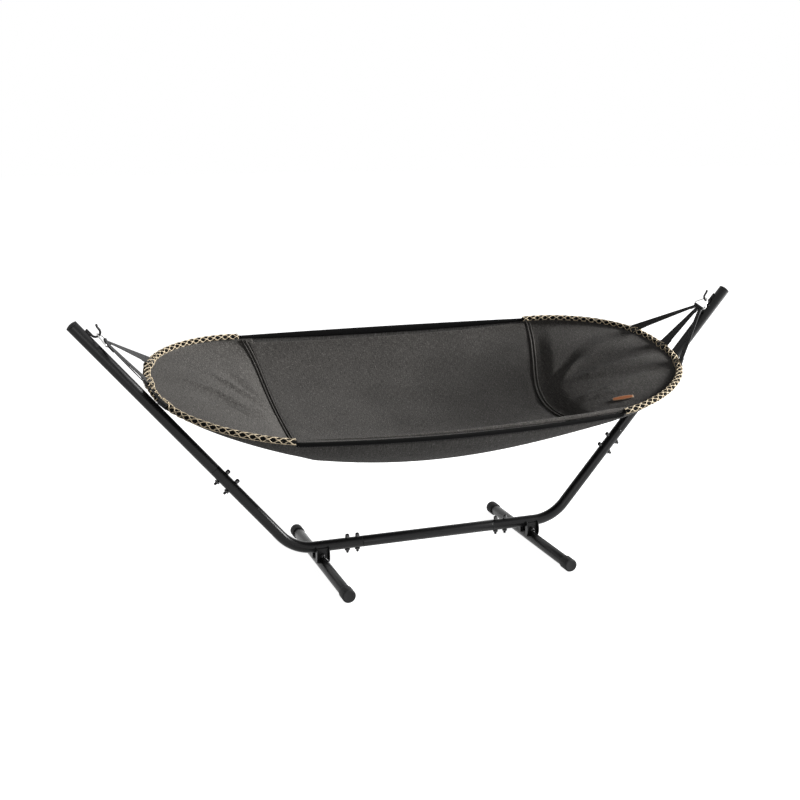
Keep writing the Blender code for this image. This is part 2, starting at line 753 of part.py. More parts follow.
def make_hems(parent):
    """A stiff band along each long edge, between the bows' ends."""
    half_height = HEM_HEIGHT / 2
    half_thick = HEM_THICKNESS / 2
    centre_drop = EDGE_DROP - 2 * GAP - half_height
    flat = half_thick - HEM_CORNER
    side = half_height - HEM_CORNER
    section = [(flat, half_height), (half_thick, side), (half_thick, -side), (flat, -half_height)]
    section += [(-y, -z) for y, z in section]
    for word, y_side in (("front", -1), ("back", 1)):
        rows = []
        for i in range(HEM_STEPS + 1):
            x = HEM_END_X * (2.0 * i / HEM_STEPS - 1.0)
            width, drop = half_width(x)
            rows.append([(x, y_side * width + y, -drop - centre_drop + z) for y, z in section])
        mesh = grid_mesh(f"hem_{word}", rows, closed=True)
        bm = bmesh.new()
        bm.from_mesh(mesh)
        bmesh.ops.holes_fill(bm, edges=bm.edges)
        bmesh.ops.recalc_face_normals(bm, faces=bm.faces)
        bm.to_mesh(mesh)
        bm.free()
        add_piece(f"hem_{word}", smooth(mesh, 30.0), "binding", parent=parent)


def strap_places():
    return (-STRAP_SPREAD, 0.0, STRAP_SPREAD)


def lacing_points(path):
    """The cord's axis: loops round the bow, with a straight run over each strap."""
    run = STRAP_WIDTH / 2 + CORD_CLIMB
    lifted = STRAP_WIDTH / 2 + CORD_RADIUS + 2 * GAP
    end = path.half - CORD_END
    stops = [-end]
    for place in strap_places():
        stops += [place - run, place + run]
    stops.append(end)
    loops = (LOOPS_TO_STRAP, LOOPS_BETWEEN_STRAPS, LOOPS_BETWEEN_STRAPS, LOOPS_TO_STRAP)
    low = (BOW_RADIUS + GAP + CORD_RADIUS) / math.cos(math.pi / CORD_POINTS)
    high = STRAP_BORE + STRAP_THICKNESS + GAP + CORD_RADIUS
    samples = []
    for part, count in enumerate(loops):
        start, stop = stops[2 * part], stops[2 * part + 1]
        steps = count * CORD_POINTS
        for i in range(steps + 1):
            turn = 360.0 * i / CORD_POINTS
            samples.append((start + (stop - start) * i / steps, turn))
        if part < len(loops) - 1:
            centre = strap_places()[part]
            for share in (-1.0, -0.5, 0.0, 0.5, 1.0):
                samples.append((centre + share * lifted, 0.0))
    points = []
    for distance, turn in samples:
        place, tangent, outward, upward = path.frame(distance)
        nearest = min(abs(distance - strap) for strap in strap_places())
        radius = low + (high - low) * (1.0 - smoothstep(lifted, run, nearest))
        a = math.radians(CORD_CROSSING_ANGLE + turn)
        points.append(place + radius * (math.cos(a) * outward + math.sin(a) * upward))
    return points


def least_gap(points, radius):
    """Least clear distance between stretches of a tube that aren't neighbours."""
    best = 1.0
    apart = CORD_POINTS
    for i, a in enumerate(points):
        for b in points[i + apart:i + 3 * apart]:
            best = min(best, (a - b).length)
    return best - 2 * radius


def hook_point(side):
    """The middle of a hook's bottom, in the bed's frame."""
    place = arm_place(side, POST_END - HOOK_BOTTOM, HOOK_LEG + HOOK_BEND)
    return Vector((place.x, 0.0, 0.0))


def pull_direction(side):
    """From a hook to the tip of its bow."""
    return (Vector((side * TIP_X, 0.0, -TIP_DROP)) - hook_point(side)).normalized()


def ring_points(side):
    """A triangle with round corners: its apex over the hook and its long side to the straps."""
    pull = pull_direction(side)
    apex_y = -(HOOK_WIRE + RING_WIRE + 2 * GAP) + RING_APEX_RADIUS
    corner_x = RING_HALF_WIDTH - RING_CORNER_RADIUS
    corner_y = RING_LENGTH - RING_CORNER_RADIUS
    slope = math.degrees(math.atan2(corner_x, corner_y - apex_y))
    lean = math.degrees(math.asin((RING_APEX_RADIUS - RING_CORNER_RADIUS)
                                  / math.hypot(corner_x, corner_y - apex_y)))
    turn = slope + lean
    flat = arc((0.0, apex_y), RING_APEX_RADIUS, 180.0 + turn, 360.0 - turn, 5)
    flat += arc((corner_x, corner_y), RING_CORNER_RADIUS, -turn, 90.0, 3)
    flat += arc((-corner_x, corner_y), RING_CORNER_RADIUS, 90.0, 180.0 + turn, 3)
    hook = hook_point(side)
    return [hook + Vector((0.0, 1.0, 0.0)) * u + pull * v for u, v in flat]


def strap_line(length):
    """The tape seen edge on: tail, loop on the bow, free run, loop on the ring, tail."""
    ply = (STRAP_THICKNESS + GAP) / 2
    bow_loop = STRAP_BORE + STRAP_THICKNESS / 2
    ring_loop = RING_WIRE + GAP + STRAP_THICKNESS / 2
    wide = math.degrees(math.asin(ply / bow_loop))
    narrow = math.degrees(math.asin(ply / ring_loop))
    low_end = [STRAP_LEAVE, STRAP_TAIL]
    high_end = [length - STRAP_RING_TAIL, length - STRAP_RING_LEAVE]
    line = [(u, -ply) for u in reversed(low_end)]
    line += arc((0.0, 0.0), bow_loop, 360.0 - wide, wide, 10)
    line += [(u, ply) for u in low_end]
    line += [(length * share, ply) for share in STRAP_STATIONS]
    line += [(u, ply) for u in high_end]
    line += arc((length, 0.0), ring_loop, 180.0 - narrow, narrow - 180.0, 8)
    line += [(u, -ply) for u in reversed(high_end)]
    return line


def make_strap(name, side, number, path, parent):
    """Webbing looped round the bow and the ring; it narrows and turns on its way."""
    distance = strap_places()[number]
    start, tangent, _, _ = path.frame(distance)
    back = Vector((0.0, 1.0, 0.0))
    bar = hook_point(side) + pull_direction(side) * RING_LENGTH + back * (number - 1) * RING_SPACING
    line = bar - start
    length = line.length
    leave = (line - line.dot(tangent) * tangent).normalized()
    arrive = (line - line.dot(back) * back).normalized()
    first = start + leave * STRAP_LEAVE
    last = bar - arrive * STRAP_RING_LEAVE
    rows = []
    for u, v in strap_line(length):
        share = (u - STRAP_LEAVE) / (length - STRAP_RING_LEAVE - STRAP_LEAVE)
        share = min(max(share, 0.0), 1.0)
        turned = smoothstep(0.0, 1.0, share)
        across = tangent.lerp(back, turned).normalized()
        normal = side * leave.lerp(arrive, turned).cross(across).normalized()
        if share <= 0.0:
            centre = start + leave * u
        elif share >= 1.0:
            centre = bar + arrive * (u - length)
        else:
            centre = first.lerp(last, share)
        half = across * (STRAP_WIDTH + (STRAP_RING_WIDTH - STRAP_WIDTH) * share) / 2
        rows.append([centre + normal * v - half, centre + normal * v + half])
    mesh = grid_mesh(name, rows)
    strap = add_piece(name, smooth(mesh, 40.0), "webbing", parent=parent)
    solidify(strap, STRAP_THICKNESS)


def make_bow_ends(parent):
    """Each end's bow with its lacing, ring and three straps."""
    for word, side in SIDES.items():
        path = BowPath(side)
        end = path.half - BOW_END
        spots = [path.at(end * (2.0 * i / BOW_STEPS - 1.0)) for i in range(BOW_STEPS + 1)]
        mesh = swept_mesh(f"bow_{word}", spots, BOW_RADIUS, 2)
        add_piece(f"bow_{word}", mesh, "binding", parent=parent)
        cord = lacing_points(path)
        mesh = swept_mesh(f"lacing_{word}", cord, CORD_RADIUS, 1)
        add_piece(f"lacing_{word}", mesh, "cord", parent=parent)
        print(f"lacing_{word}: least gap {1000 * least_gap(cord, CORD_RADIUS):.2f} mm")
        ring = swept_mesh(f"ring_{word}", ring_points(side), RING_WIRE, 2, cyclic=True)
        add_piece(f"ring_{word}", ring, "ring_steel", parent=parent)
        for number, spot in enumerate(("front", "middle", "back")):
            make_strap(f"strap_{word}_{spot}", side, number, path, parent)


def make_label(parent):
    """A bare tab sewn flat on the cloth of the right-hand end."""
    x, y = LABEL_PLACE
    step = 0.004
    here = Vector((x, y, cloth_height(x, y)))
    rise_x = cloth_height(x + step, y) - cloth_height(x - step, y)
    rise_y = cloth_height(x, y + step) - cloth_height(x, y - step)
    along = Vector((2 * step, 0.0, rise_x)).normalized()
    normal = along.cross(Vector((0.0, 2 * step, rise_y))).normalized()
    turn = Matrix((along, normal.cross(along), normal)).transposed().to_4x4()
    bm = bmesh.new()
    bmesh.ops.create_cube(bm, size=1.0)
    mesh = bpy.data.meshes.new("label_tab")
    bm.to_mesh(mesh)
    bm.free()
    mesh.transform(Matrix.Diagonal((*LABEL_SIZE, 1.0)))
    lift = CLOTH / 2 + LABEL_LIFT + LABEL_SIZE[2] / 2
    spin = Matrix.Rotation(math.radians(LABEL_TURN), 4, "Z")
    place = Matrix.Translation(here + normal * lift) @ turn @ spin
    label = add_piece("label_tab", mesh, "label", place, parent)
    bevel = label.modifiers.new("edges", "BEVEL")
    bevel.width = LABEL_EDGE
    bevel.segments = 1


def make_bed():
    """The whole bed, tipped about the line through the two hooks."""
    axis = bpy.data.objects.new("swing_axis", None)
    PARTS.objects.link(axis)
    bottom = arm_place(1, POST_END - HOOK_BOTTOM, HOOK_LEG + HOOK_BEND)
    axis.location = (0.0, STAND_Y, bottom.z)
    axis.rotation_euler = (math.radians(SWING), 0.0, 0.0)
    make_cloths(axis)
    make_panel(axis)
    make_hems(axis)
    make_bow_ends(axis)
    make_label(axis)


make_stand()
make_bed()
bpy.context.view_layer.update()
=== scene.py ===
import math
from contextlib import contextmanager

import bmesh
import bpy
import numpy as np
from mathutils import Matrix, Vector


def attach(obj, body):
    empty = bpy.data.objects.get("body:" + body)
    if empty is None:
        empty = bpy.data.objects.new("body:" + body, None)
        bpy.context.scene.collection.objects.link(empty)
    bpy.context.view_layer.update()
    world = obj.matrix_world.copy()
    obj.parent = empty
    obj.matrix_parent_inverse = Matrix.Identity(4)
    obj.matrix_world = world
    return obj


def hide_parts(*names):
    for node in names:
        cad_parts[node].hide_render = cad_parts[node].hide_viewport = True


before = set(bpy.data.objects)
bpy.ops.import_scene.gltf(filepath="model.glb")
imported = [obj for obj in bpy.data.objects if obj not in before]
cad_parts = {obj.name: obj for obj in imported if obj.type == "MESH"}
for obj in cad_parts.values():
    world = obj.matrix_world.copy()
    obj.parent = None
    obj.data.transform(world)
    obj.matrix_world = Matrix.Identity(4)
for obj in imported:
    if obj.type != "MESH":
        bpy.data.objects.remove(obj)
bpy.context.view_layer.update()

# The stand: sizes in metres, and shares where the name says so

GAP = 0.0003
MERGE = 0.00002
TUBE_RADIUS = 0.0080
TUBE_WALL = 0.0012
TUBE_EASE = 0.0004
TUBE_NIP = 0.0003
TUBE_MOUTH = 0.012
POST_ANGLE = math.radians(49.9)
CORNER_X = 0.201
POST_END = 0.4372
ARM_JOINT = 0.169
BASE_JOINT = 0.101
BEND_RADIUS = 0.064
SPIGOT = 0.0064
SPIGOT_LENGTH = 0.040
STAND_Y = -0.0215
BASE_Z = 0.0306
FOOT_X = 0.1628
FOOT_HALF = 0.1347
FOOT_DROP = 0.0217
FOOT_CAP_RADIUS = 0.0094
FOOT_CAP_LENGTH = 0.0180
FOOT_CAP_FACE = 0.0025
FOOT_CAP_ROUND = 0.0018
PLUG_RADIUS = 0.0062
PLUG_LENGTH = 0.008
BOLT_RADIUS = 0.0020
BOLT_HEAD = 0.0031
BOLT_RISE = 0.0055
BOLT_TAIL = 0.0040
SOCKET_RADIUS = 0.0013
SOCKET_DEPTH = 0.0022
THREAD_PITCH = 0.0005
THREAD_DEPTH = 0.00022
ARM_BOLTS = (0.017, 0.036)
BASE_BOLTS = (0.007, 0.022)
NUT_RADIUS = 0.0040
NUT_HEIGHT = 0.0024
NUT_CHAMFER = 0.0004
NUT_BORE_SHARE = 0.60
NUT_FACE_SHARE = 0.90
SADDLE_NUT_RADIUS = 0.0036
SADDLE_WEB = 0.0020
HOOK_WIRE = 0.0015
HOOK_LEG = 0.0098
HOOK_BEND = 0.0059
HOOK_WELD_TOP = 0.0155
HOOK_TIP = 0.0190
HOOK_BOTTOM = 0.0317
HOOK_FLARE = 0.0016
WELD_RADIUS = 0.00070
WELD_RIPPLE = 0.00030
WELD_RIPPLES = 6.0
WELD_SIDE = 0.00125

# The bed as it hangs plumb, measured from the line through its two hooks

SWING = math.radians(13.1)
PIVOT = np.array((0.0, STAND_Y, 0.3509))
SEAM_X = 0.2311
SEAM_Y = 0.1687
SEAM_DROP = 0.0868
TIP_X = 0.3885
TIP_DROP = 0.0714
BOW_X_POWER = 1.30
BOW_Y_POWER = 0.83
HEM_BOW = 0.010
HEM_SAG = 0.004
EDGE_DROP = 0.0073
EDGE_RISE = 0.0047
EDGE_REACH = 0.0055
FRONT_EDGE = (0.216, 0.231)
BACK_EDGE = (0.100, 0.210)
KEEL_DROP = 0.1782
KEEL_CURVE = 0.8225
KEEL_LEAN = 0.060
KEEL_BREAK = 0.199
KEEL_BLEND = 0.012
KEEL_LIFT = 0.0070

FOLD_START = 0.205
FOLD_GROWTH = 0.060
FOLD_RISE = 0.0022
FOLD_PERIOD = 40.0
FOLD_AIM = 6.0
FOLD_FAN = 44.0
RIDGE_START = 0.3
RIDGE_END = 0.45
RIDGE_GAIN = 1.5
RIDGE_POWER = 1.5
LINING_LOFT = 0.0042
LOFT_START = (0.008, 0.036)
LINING_THICKNESS = 0.0009
LINING_INSET = 0.0010
LINING_TUCK = 0.010
LINING_SHORT = 0.0016
SHELL_THICKNESS = 0.0010
SHELL_OUT = 0.0004
SHELL_FACE = 0.0012
CANVAS_THREAD = 0.00075

# The padded panel and the simulation that blows it up

PANEL_TOP = 0.0036
PANEL_UNDER = 0.0002
AIR_CAP = 0.0035
AIR_SCALE = 0.030
AIR_FRAMES = 20
AIR_SETTINGS = {
    "vertex_group_mass": "sewn", "quality": 6, "mass": 0.25, "tension_stiffness": 12.0,
    "compression_stiffness": 12.0, "shear_stiffness": 5.0, "bending_stiffness": 0.4,
    "shrink_min": -0.022, "use_pressure": True, "uniform_pressure_force": 4.0}

# Each piped seam: its step from the seam line, its height and its radius
WELTS = ((0.0013, 0.0022, 0.0015), (0.0062, 0.0016, 0.0012))

# Each hem: half its height and its drop at the ends, each with what the middle adds
HEM_X = 0.2313
HEM_THICK = 0.00225
HEM_FORMS = {"front": (0.0031, 0.0, 0.0046, 0.0), "back": (0.0022, 0.0032, 0.0012, 0.0020)}
HEM_WOBBLE_SHARE = 0.0048
HEM_SEAM = (0.00235, -0.0064)

# The roll of lining: its ends, its plain radius, and what the right side and the bulge add
ROLL_ENDS = (-0.214, 0.262)
ROLL_RADIUS = 0.0017
ROLL_RIGHT = 0.0024
ROLL_BULGE = 0.0016
ROLL_BULGE_X = 0.222

# The bows, their nets and the straps

BUNDLE_WIDE = 0.0043
BUNDLE_HIGH = 0.0029
NET_CORD = 0.00060
NET_CORDS = 6
NET_FACING = math.radians(40.0)
NET_LIFT = 0.0015
NET_PITCH = 0.0128
NET_STEPS = 12
NET_END = 0.002
NET_OVERLAP = 0.78
NET_ROUNDING = 1.2
NET_PHASE = 0.35
NET_OVER_STRAP = (0.0135, 0.0095)
NET_ASIDE = (0.0155, 0.0105)
NET_ASIDE_TURNS = (82.0, 87.0, 92.0)

RING_WIRE = 0.0010
RING_APEX_RADIUS = 0.0040
RING_CORNER_RADIUS = 0.0030
RING_HALF_WIDTH = 0.0132
RING_LENGTH = 0.0135
STRAP_THICKNESS = 0.0010
STRAP_BORE = 0.0037
STRAP_SNUG = 0.00065
STRAP_WIDTH = 0.0180
STRAP_RING_WIDTH = 0.0058
STRAP_SPREAD = 0.0660
STRAP_LEAVE = 0.0056
STRAP_TAIL = 0.0150
STRAP_RING_LEAVE = 0.0032
STRAP_RING_TAIL = 0.0120
RING_SPACING = 0.0070

# The bare tab

TAB_LENGTH = 0.028
TAB_WIDTH = 0.0096
TAB_X = 0.265
TAB_Y = -0.111
TAB_TURN = math.radians(-23.0)

# Floor, light and the photograph's camera

FLOOR_REACH = 12.0
FLOOR_GREY = (0.62, 0.62, 0.62)
FLOOR_GLOW = 0.96
WORLD_LIGHT = 0.075
LAMP_TARGET = (0.0, 0.0, 0.25)
WHITE = (1.0, 1.0, 1.0)
CAMERA_PLACE = (-0.5837, -1.5351, 0.6197)
CAMERA_YAW = math.radians(19.65)
CAMERA_PITCH = math.radians(13.5)
CAMERA_LENS = 52.8

SIDES = {"left": -1, "right": 1}
ENDS = {"front": -1, "back": 1}
BACK = np.array((0.0, 1.0, 0.0))


# Nodes and finishes

def operator(operation):
    """One of Python's operators on a Value, and its form with the Value on the right."""
    return (lambda self, other: self.nodes.math(operation, self, other),
            lambda self, other: self.nodes.math(operation, other, self))


class Value:
    """An output of a node; Python's operators on it add Math nodes."""

    def __init__(self, nodes, socket):
        self.nodes = nodes
        self.socket = socket

    __add__, __radd__ = operator("ADD")
    __sub__, __rsub__ = operator("SUBTRACT")
    __mul__, __rmul__ = operator("MULTIPLY")
    __truediv__, __rtruediv__ = operator("DIVIDE")


class Nodes:
    """A node tree, with one method that adds any node to it."""

    def __init__(self, tree):
        self.tree = tree
        tree.nodes.clear()

    def node(self, kind, inputs=None, output=0, **settings):
        """Adds a node: its settings first, then the values or links of its sockets.

        A colour is given as three numbers.
        """
        node = self.tree.nodes.new(kind)
        for key, value in settings.items():
            setattr(node, key, value)
        for key, value in (inputs or {}).items():
            socket = node.inputs[key]
            if isinstance(value, Value):
                self.tree.links.new(value.socket, socket)
            else:
                socket.default_value = (*value, 1.0) if socket.type == "RGBA" else value
        return Value(self, node.outputs[output]) if node.outputs else None

    def math(self, operation, *values):
        return self.node("ShaderNodeMath", dict(enumerate(values)), operation=operation)

    def seen_directly(self):
        """1 for rays from the camera, from reflections or through clear pieces."""
        kinds = ("Camera", "Glossy", "Transmission")
        camera, glossy, through = (
            self.node("ShaderNodeLightPath", output=f"Is {kind} Ray") for kind in kinds)
        return self.math("MINIMUM", camera + glossy + through, 1.0)


FINISHES = {}


class Finish(Nodes):
    """A material kept under its name, and the groups of nodes that its finish is made of."""

    def __init__(self, name):
        self.material = FINISHES[name] = bpy.data.materials.new(name)
        self.material.use_nodes = True
        super().__init__(self.material.node_tree)

    def between(self, value, low, high):
        """0 below low, 1 above high and smooth between them."""
        return self.node("ShaderNodeMapRange", {0: value, 1: low, 2: high}, interpolation_type="SMOOTHSTEP")

    def blend(self, share, first, second):
        """Mixes two colours."""
        return self.node("ShaderNodeMix", {0: share, 6: first, 7: second}, 2, data_type="RGBA")

    def edges(self, low, high):
        """0 on flat faces and 1 on sharp corners."""
        return self.between(self.node("ShaderNodeNewGeometry", output="Pointiness"), low, high)

    def place(self):
        """The piece's own object coordinates."""
        return self.node("ShaderNodeTexCoord", output="Object")

    def metres(self):
        """The piece's own map, in metres across and along."""
        return self.node("ShaderNodeUVMap", uv_map="metres")

    def own(self, name, output="Fac"):
        """A value kept on the piece's points."""
        return self.node("ShaderNodeAttribute", output=output, attribute_name=name)

    def scaled(self, where, sizes):
        """Where, stretched so that a feature has these sizes."""
        return self.node("ShaderNodeMapping", {"Vector": where, "Scale": tuple(1.0 / s for s in sizes)})

    def parts(self, vector):
        node = self.tree.nodes.new("ShaderNodeSeparateXYZ")
        self.tree.links.new(vector.socket, node.inputs[0])
        return [Value(self, socket) for socket in node.outputs]

    def noise(self, where, scale=1.0, detail=2.0, rough=0.5):
        inputs = {"Vector": where, "Scale": scale, "Detail": detail, "Roughness": rough}
        return self.node("ShaderNodeTexNoise", inputs)

    def bump(self, height, distance, strength=1.0, under=None):
        inputs = {"Height": height, "Distance": distance, "Strength": strength}
        if under is not None:
            inputs["Normal"] = under
        return self.node("ShaderNodeBump", inputs)

    def surface(self, **sockets):
        """The Principled shader; an underscore in a name stands for a space."""
        inputs = {key.replace("_", " "): value for key, value in sockets.items()}
        shader = self.node("ShaderNodeBsdfPrincipled", inputs)
        self.node("ShaderNodeOutputMaterial", {"Surface": shader})


def powder_coat():
    """Satin black powder coat: a fine orange peel, and a little polish along the edges."""
    f = Finish("powder_coat")
    where = f.place()
    peel = f.noise(where, 1500.0, 2.0, 0.55)
    cloud = f.noise(where, 60.0, 3.0, 0.5)
    edge = f.edges(0.52, 0.60)
    colour = f.blend(cloud * 0.5 + edge * 0.3, (0.0050, 0.0050, 0.0053), (0.0120, 0.0120, 0.0126))
    rough = 0.27 + cloud * 0.08 - edge * 0.05
    f.surface(Base_Color=colour, Roughness=rough, Specular_IOR_Level=0.18,
              Normal=f.bump(peel, 0.00006, 0.5), Coat_Weight=0.08, Coat_Roughness=0.22)


def moulded_plastic():
    """Matte black plastic with a fine spark-eroded grain."""
    f = Finish("cap_plastic")
    where = f.place()
    grain = f.noise(where, 2600.0, 3.0, 0.6)
    cloud = f.noise(where, 90.0, 2.0, 0.5)
    colour = f.blend(cloud, (0.0120, 0.0120, 0.0124), (0.0190, 0.0190, 0.0195))
    f.surface(Base_Color=colour, Roughness=0.62 + cloud * 0.12, Specular_IOR_Level=0.25,
              Normal=f.bump(grain, 0.00010, 0.5))


def black_steel():
    """Blackened steel, rubbed brighter on its corners."""
    f = Finish("bolt_steel")
    rub = f.noise(f.place(), 900.0, 4.0, 0.6)
    colour = f.blend(f.edges(0.50, 0.58) * 0.6 + rub * 0.25, (0.006, 0.006, 0.0065), (0.10, 0.10, 0.10))
    f.surface(Base_Color=colour, Metallic=0.6, Specular_IOR_Level=0.3, Roughness=0.30 + rub * 0.18,
              Normal=f.bump(rub, 0.00004, 0.4))


def plated_wire():
    """Bright plated wire with faint drawing lines."""
    f = Finish("ring_steel")
    lines = f.noise(f.scaled(f.place(), (0.004, 0.0004, 0.004)))
    colour = f.blend(lines, (0.56, 0.56, 0.55), (0.70, 0.70, 0.69))
    f.surface(Base_Color=colour, Metallic=1.0, Roughness=0.16 + lines * 0.14,
              Normal=f.bump(lines, 0.00003, 0.3))


def threads(f, where, across, along):
    """Height of a plain weave whose threads have this spacing, over and under by turns."""
    u, v, _ = f.parts(where)
    warp = f.math("SINE", u * (math.pi / across))
    weft = f.math("SINE", v * (math.pi / along))
    over = f.math("GREATER_THAN", warp * weft, 0.0)
    warp_round = f.math("ABSOLUTE", warp)
    weft_round = f.math("ABSOLUTE", weft)
    return over * warp_round + (1.0 - over) * weft_round


def webbing():
    """Woven black tape: a tight weave with painted shade in its hollows, a little fuzz and some grey wear.
    """
    f = Finish("webbing")
    where = f.metres()
    weave = threads(f, where, 0.0011, 0.0008)
    fuzz = f.noise(f.scaled(where, (0.0004, 0.0012, 1.0)), 1.0, 3.0, 0.6)
    wear = f.noise(where, 160.0, 3.0, 0.55)
    # The weave's hollows are darker than its crowns: painted shade; the fuzz adds random tone.
    colour = f.blend(weave * 0.5 + fuzz * 0.3, (0.0150, 0.0150, 0.0155), (0.0460, 0.0460, 0.0465))
    colour = f.blend(f.between(wear, 0.50, 0.75) * 0.35, colour, (0.050, 0.050, 0.050))
    f.surface(Base_Color=colour, Roughness=0.85, Specular_IOR_Level=0.20, Sheen_Weight=0.18,
              Sheen_Roughness=0.5, Normal=f.bump(weave + fuzz * 0.3, 0.00018, 0.7))


def binding():
    """Black binding: a dense fine twill that takes little light."""
    f = Finish("binding")
    where = f.metres()
    u, v, _ = f.parts(where)
    twill = f.math("SINE", (u + v) * (2.0 * math.pi / 0.0012))
    fuzz = f.noise(where, 1400.0, 3.0, 0.6)
    colour = f.blend(fuzz * 0.7 + twill * 0.15, (0.0030, 0.0030, 0.0031), (0.0100, 0.0098, 0.0096))
    f.surface(Base_Color=colour, Roughness=0.92, Specular_IOR_Level=0.08,
              Normal=f.bump(twill * 0.5 + fuzz, 0.00012, 0.6))


def natural_cord():
    """Natural cord: pale strands laid in a twist, with painted shade in the grooves between the strands,
    and browner in patches.
    """
    f = Finish("cord")
    round_x, round_y, _ = f.parts(f.own("round", "Vector"))
    along = f.own("along")
    turn = f.math("ARCTAN2", round_y, round_x)
    lay = f.math("SINE", turn * 3.0 + along * (2.0 * math.pi / 0.0042) * 3.0)
    strand = f.math("ABSOLUTE", lay)
    where = f.place()
    patch = f.noise(where, 190.0, 3.0, 0.6)
    fibre = f.noise(where, 2600.0, 2.0, 0.6)
    pale = f.blend(patch, (0.90, 0.79, 0.58), (0.72, 0.56, 0.35))
    # The grooves between the strands get a dark brown: painted shade, not a colour of the cord.
    colour = f.blend(f.between(strand, 0.05, 0.55), (0.34, 0.215, 0.11), pale)
    colour = f.blend(fibre * 0.35, colour, (0.86, 0.76, 0.58))
    f.surface(Base_Color=colour, Roughness=0.82, Sheen_Weight=0.10, Sheen_Roughness=0.5,
              Normal=f.bump(f.math("SQRT", strand) + fibre * 0.25, 0.00022, 0.8))


def woven_cloth(name, dark, mid, pale):
    """Melange canvas: a plain weave with painted shade in its hollows, short slubs along the weft, flecks
    and soft clouds.
    """
    f = Finish(name)
    where = f.metres()
    weave = threads(f, where, CANVAS_THREAD, CANVAS_THREAD)
    slub = f.noise(f.scaled(where, (0.0075, 0.0011, 1.0)), 1.0, 3.0, 0.60)
    warp = f.noise(f.scaled(where, (0.0010, 0.0055, 1.0)), 1.0, 2.0, 0.55)
    fleck = f.noise(where, 620.0, 2.0, 0.65)
    cloud = f.noise(where, 17.0, 3.0, 0.5)
    tone = slub * 0.36 + warp * 0.24 + fleck * 0.40
    colour = f.blend(f.between(tone, 0.38, 0.50), dark, mid)
    colour = f.blend(f.between(tone, 0.50, 0.66), colour, pale)
    colour = f.blend(f.between(cloud, 0.35, 0.75) * 0.22, colour, dark)
    # The hollows between the threads are darkened towards near black: painted shade.
    colour = f.blend(f.between(weave, 0.0, 0.9) * 0.5 + 0.5, (0.012, 0.0115, 0.011), colour)
    soft = f.noise(where, 110.0, 2.0, 0.5)
    fine = f.bump(weave + slub * 0.7, 0.00018, 0.75)
    f.surface(Base_Color=colour, Roughness=0.95, Specular_IOR_Level=0.10, Sheen_Weight=0.06,
              Sheen_Roughness=0.5, Normal=f.bump(soft, 0.0012, 0.25, fine))


def tab_leather():
    """Orange-brown tab, matte, with a raw pale edge."""
    f = Finish("label")
    where = f.metres()
    pores = f.noise(where, 1500.0, 3.0, 0.6)
    cloud = f.noise(where, 130.0, 3.0, 0.5)
    face = f.blend(cloud, (0.40, 0.115, 0.034), (0.56, 0.185, 0.062))
    colour = f.blend(f.between(f.own("rim"), 0.35, 0.75), face, (0.66, 0.47, 0.31))
    f.surface(Base_Color=colour, Roughness=0.62 + cloud * 0.15, Normal=f.bump(pores, 0.00012, 0.5))


def sewing_thread(name, tone):
    """Sewing thread with a fine twist."""
    f = Finish(name)
    twist = f.noise(f.place(), 3200.0, 2.0, 0.6)
    colour = f.blend(twist, tuple(0.5 * c for c in tone), tone)
    f.surface(Base_Color=colour, Roughness=0.78, Normal=f.bump(twist, 0.00006, 0.5))


for make_finish in (powder_coat, moulded_plastic, black_steel, plated_wire, webbing, binding,
                    natural_cord, tab_leather):
    make_finish()
woven_cloth("outer_cloth", (0.040, 0.0385, 0.0365), (0.078, 0.075, 0.0715), (0.170, 0.163, 0.156))
woven_cloth("inner_cloth", (0.040, 0.0378, 0.0354), (0.090, 0.085, 0.079), (0.235, 0.222, 0.208))
# The panel's cloth is a darker copy of the inner cloth, though it is the same cloth as the ends: painted
# shade on the middle panel.
woven_cloth("panel_cloth", (0.031, 0.0294, 0.0276), (0.071, 0.067, 0.0625), (0.190, 0.179, 0.168))
sewing_thread("grey_thread", (0.110, 0.106, 0.100))
sewing_thread("black_thread", (0.020, 0.020, 0.020))


# Making pieces

def linked(name, data):
    """An object that is part of the scene."""
    obj = bpy.data.objects.new(name, data)
    bpy.context.scene.collection.objects.link(obj)
    return obj


def new_object(mesh, finish, body, *nodes):
    """A finished piece at the origin; it moves with a body and stands in for these nodes."""
    obj = linked(mesh.name, mesh)
    mesh.materials.clear()
    mesh.materials.append(FINISHES[finish])
    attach(obj, body)
    if nodes:
        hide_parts(*nodes)
    return obj


@contextmanager
def editing(mesh):
    """A mesh opened for bmesh operations, and written back after them."""
    bm = bmesh.new()
    bm.from_mesh(mesh)
    yield bm
    bm.to_mesh(mesh)
    bm.free()


def thicken(obj, thickness, offset=0.0):
    """Gives a sheet its thickness: to both sides, or outwards with offset 1."""
    solid = obj.modifiers.new("thickness", "SOLIDIFY")
    solid.thickness = thickness
    solid.offset = offset


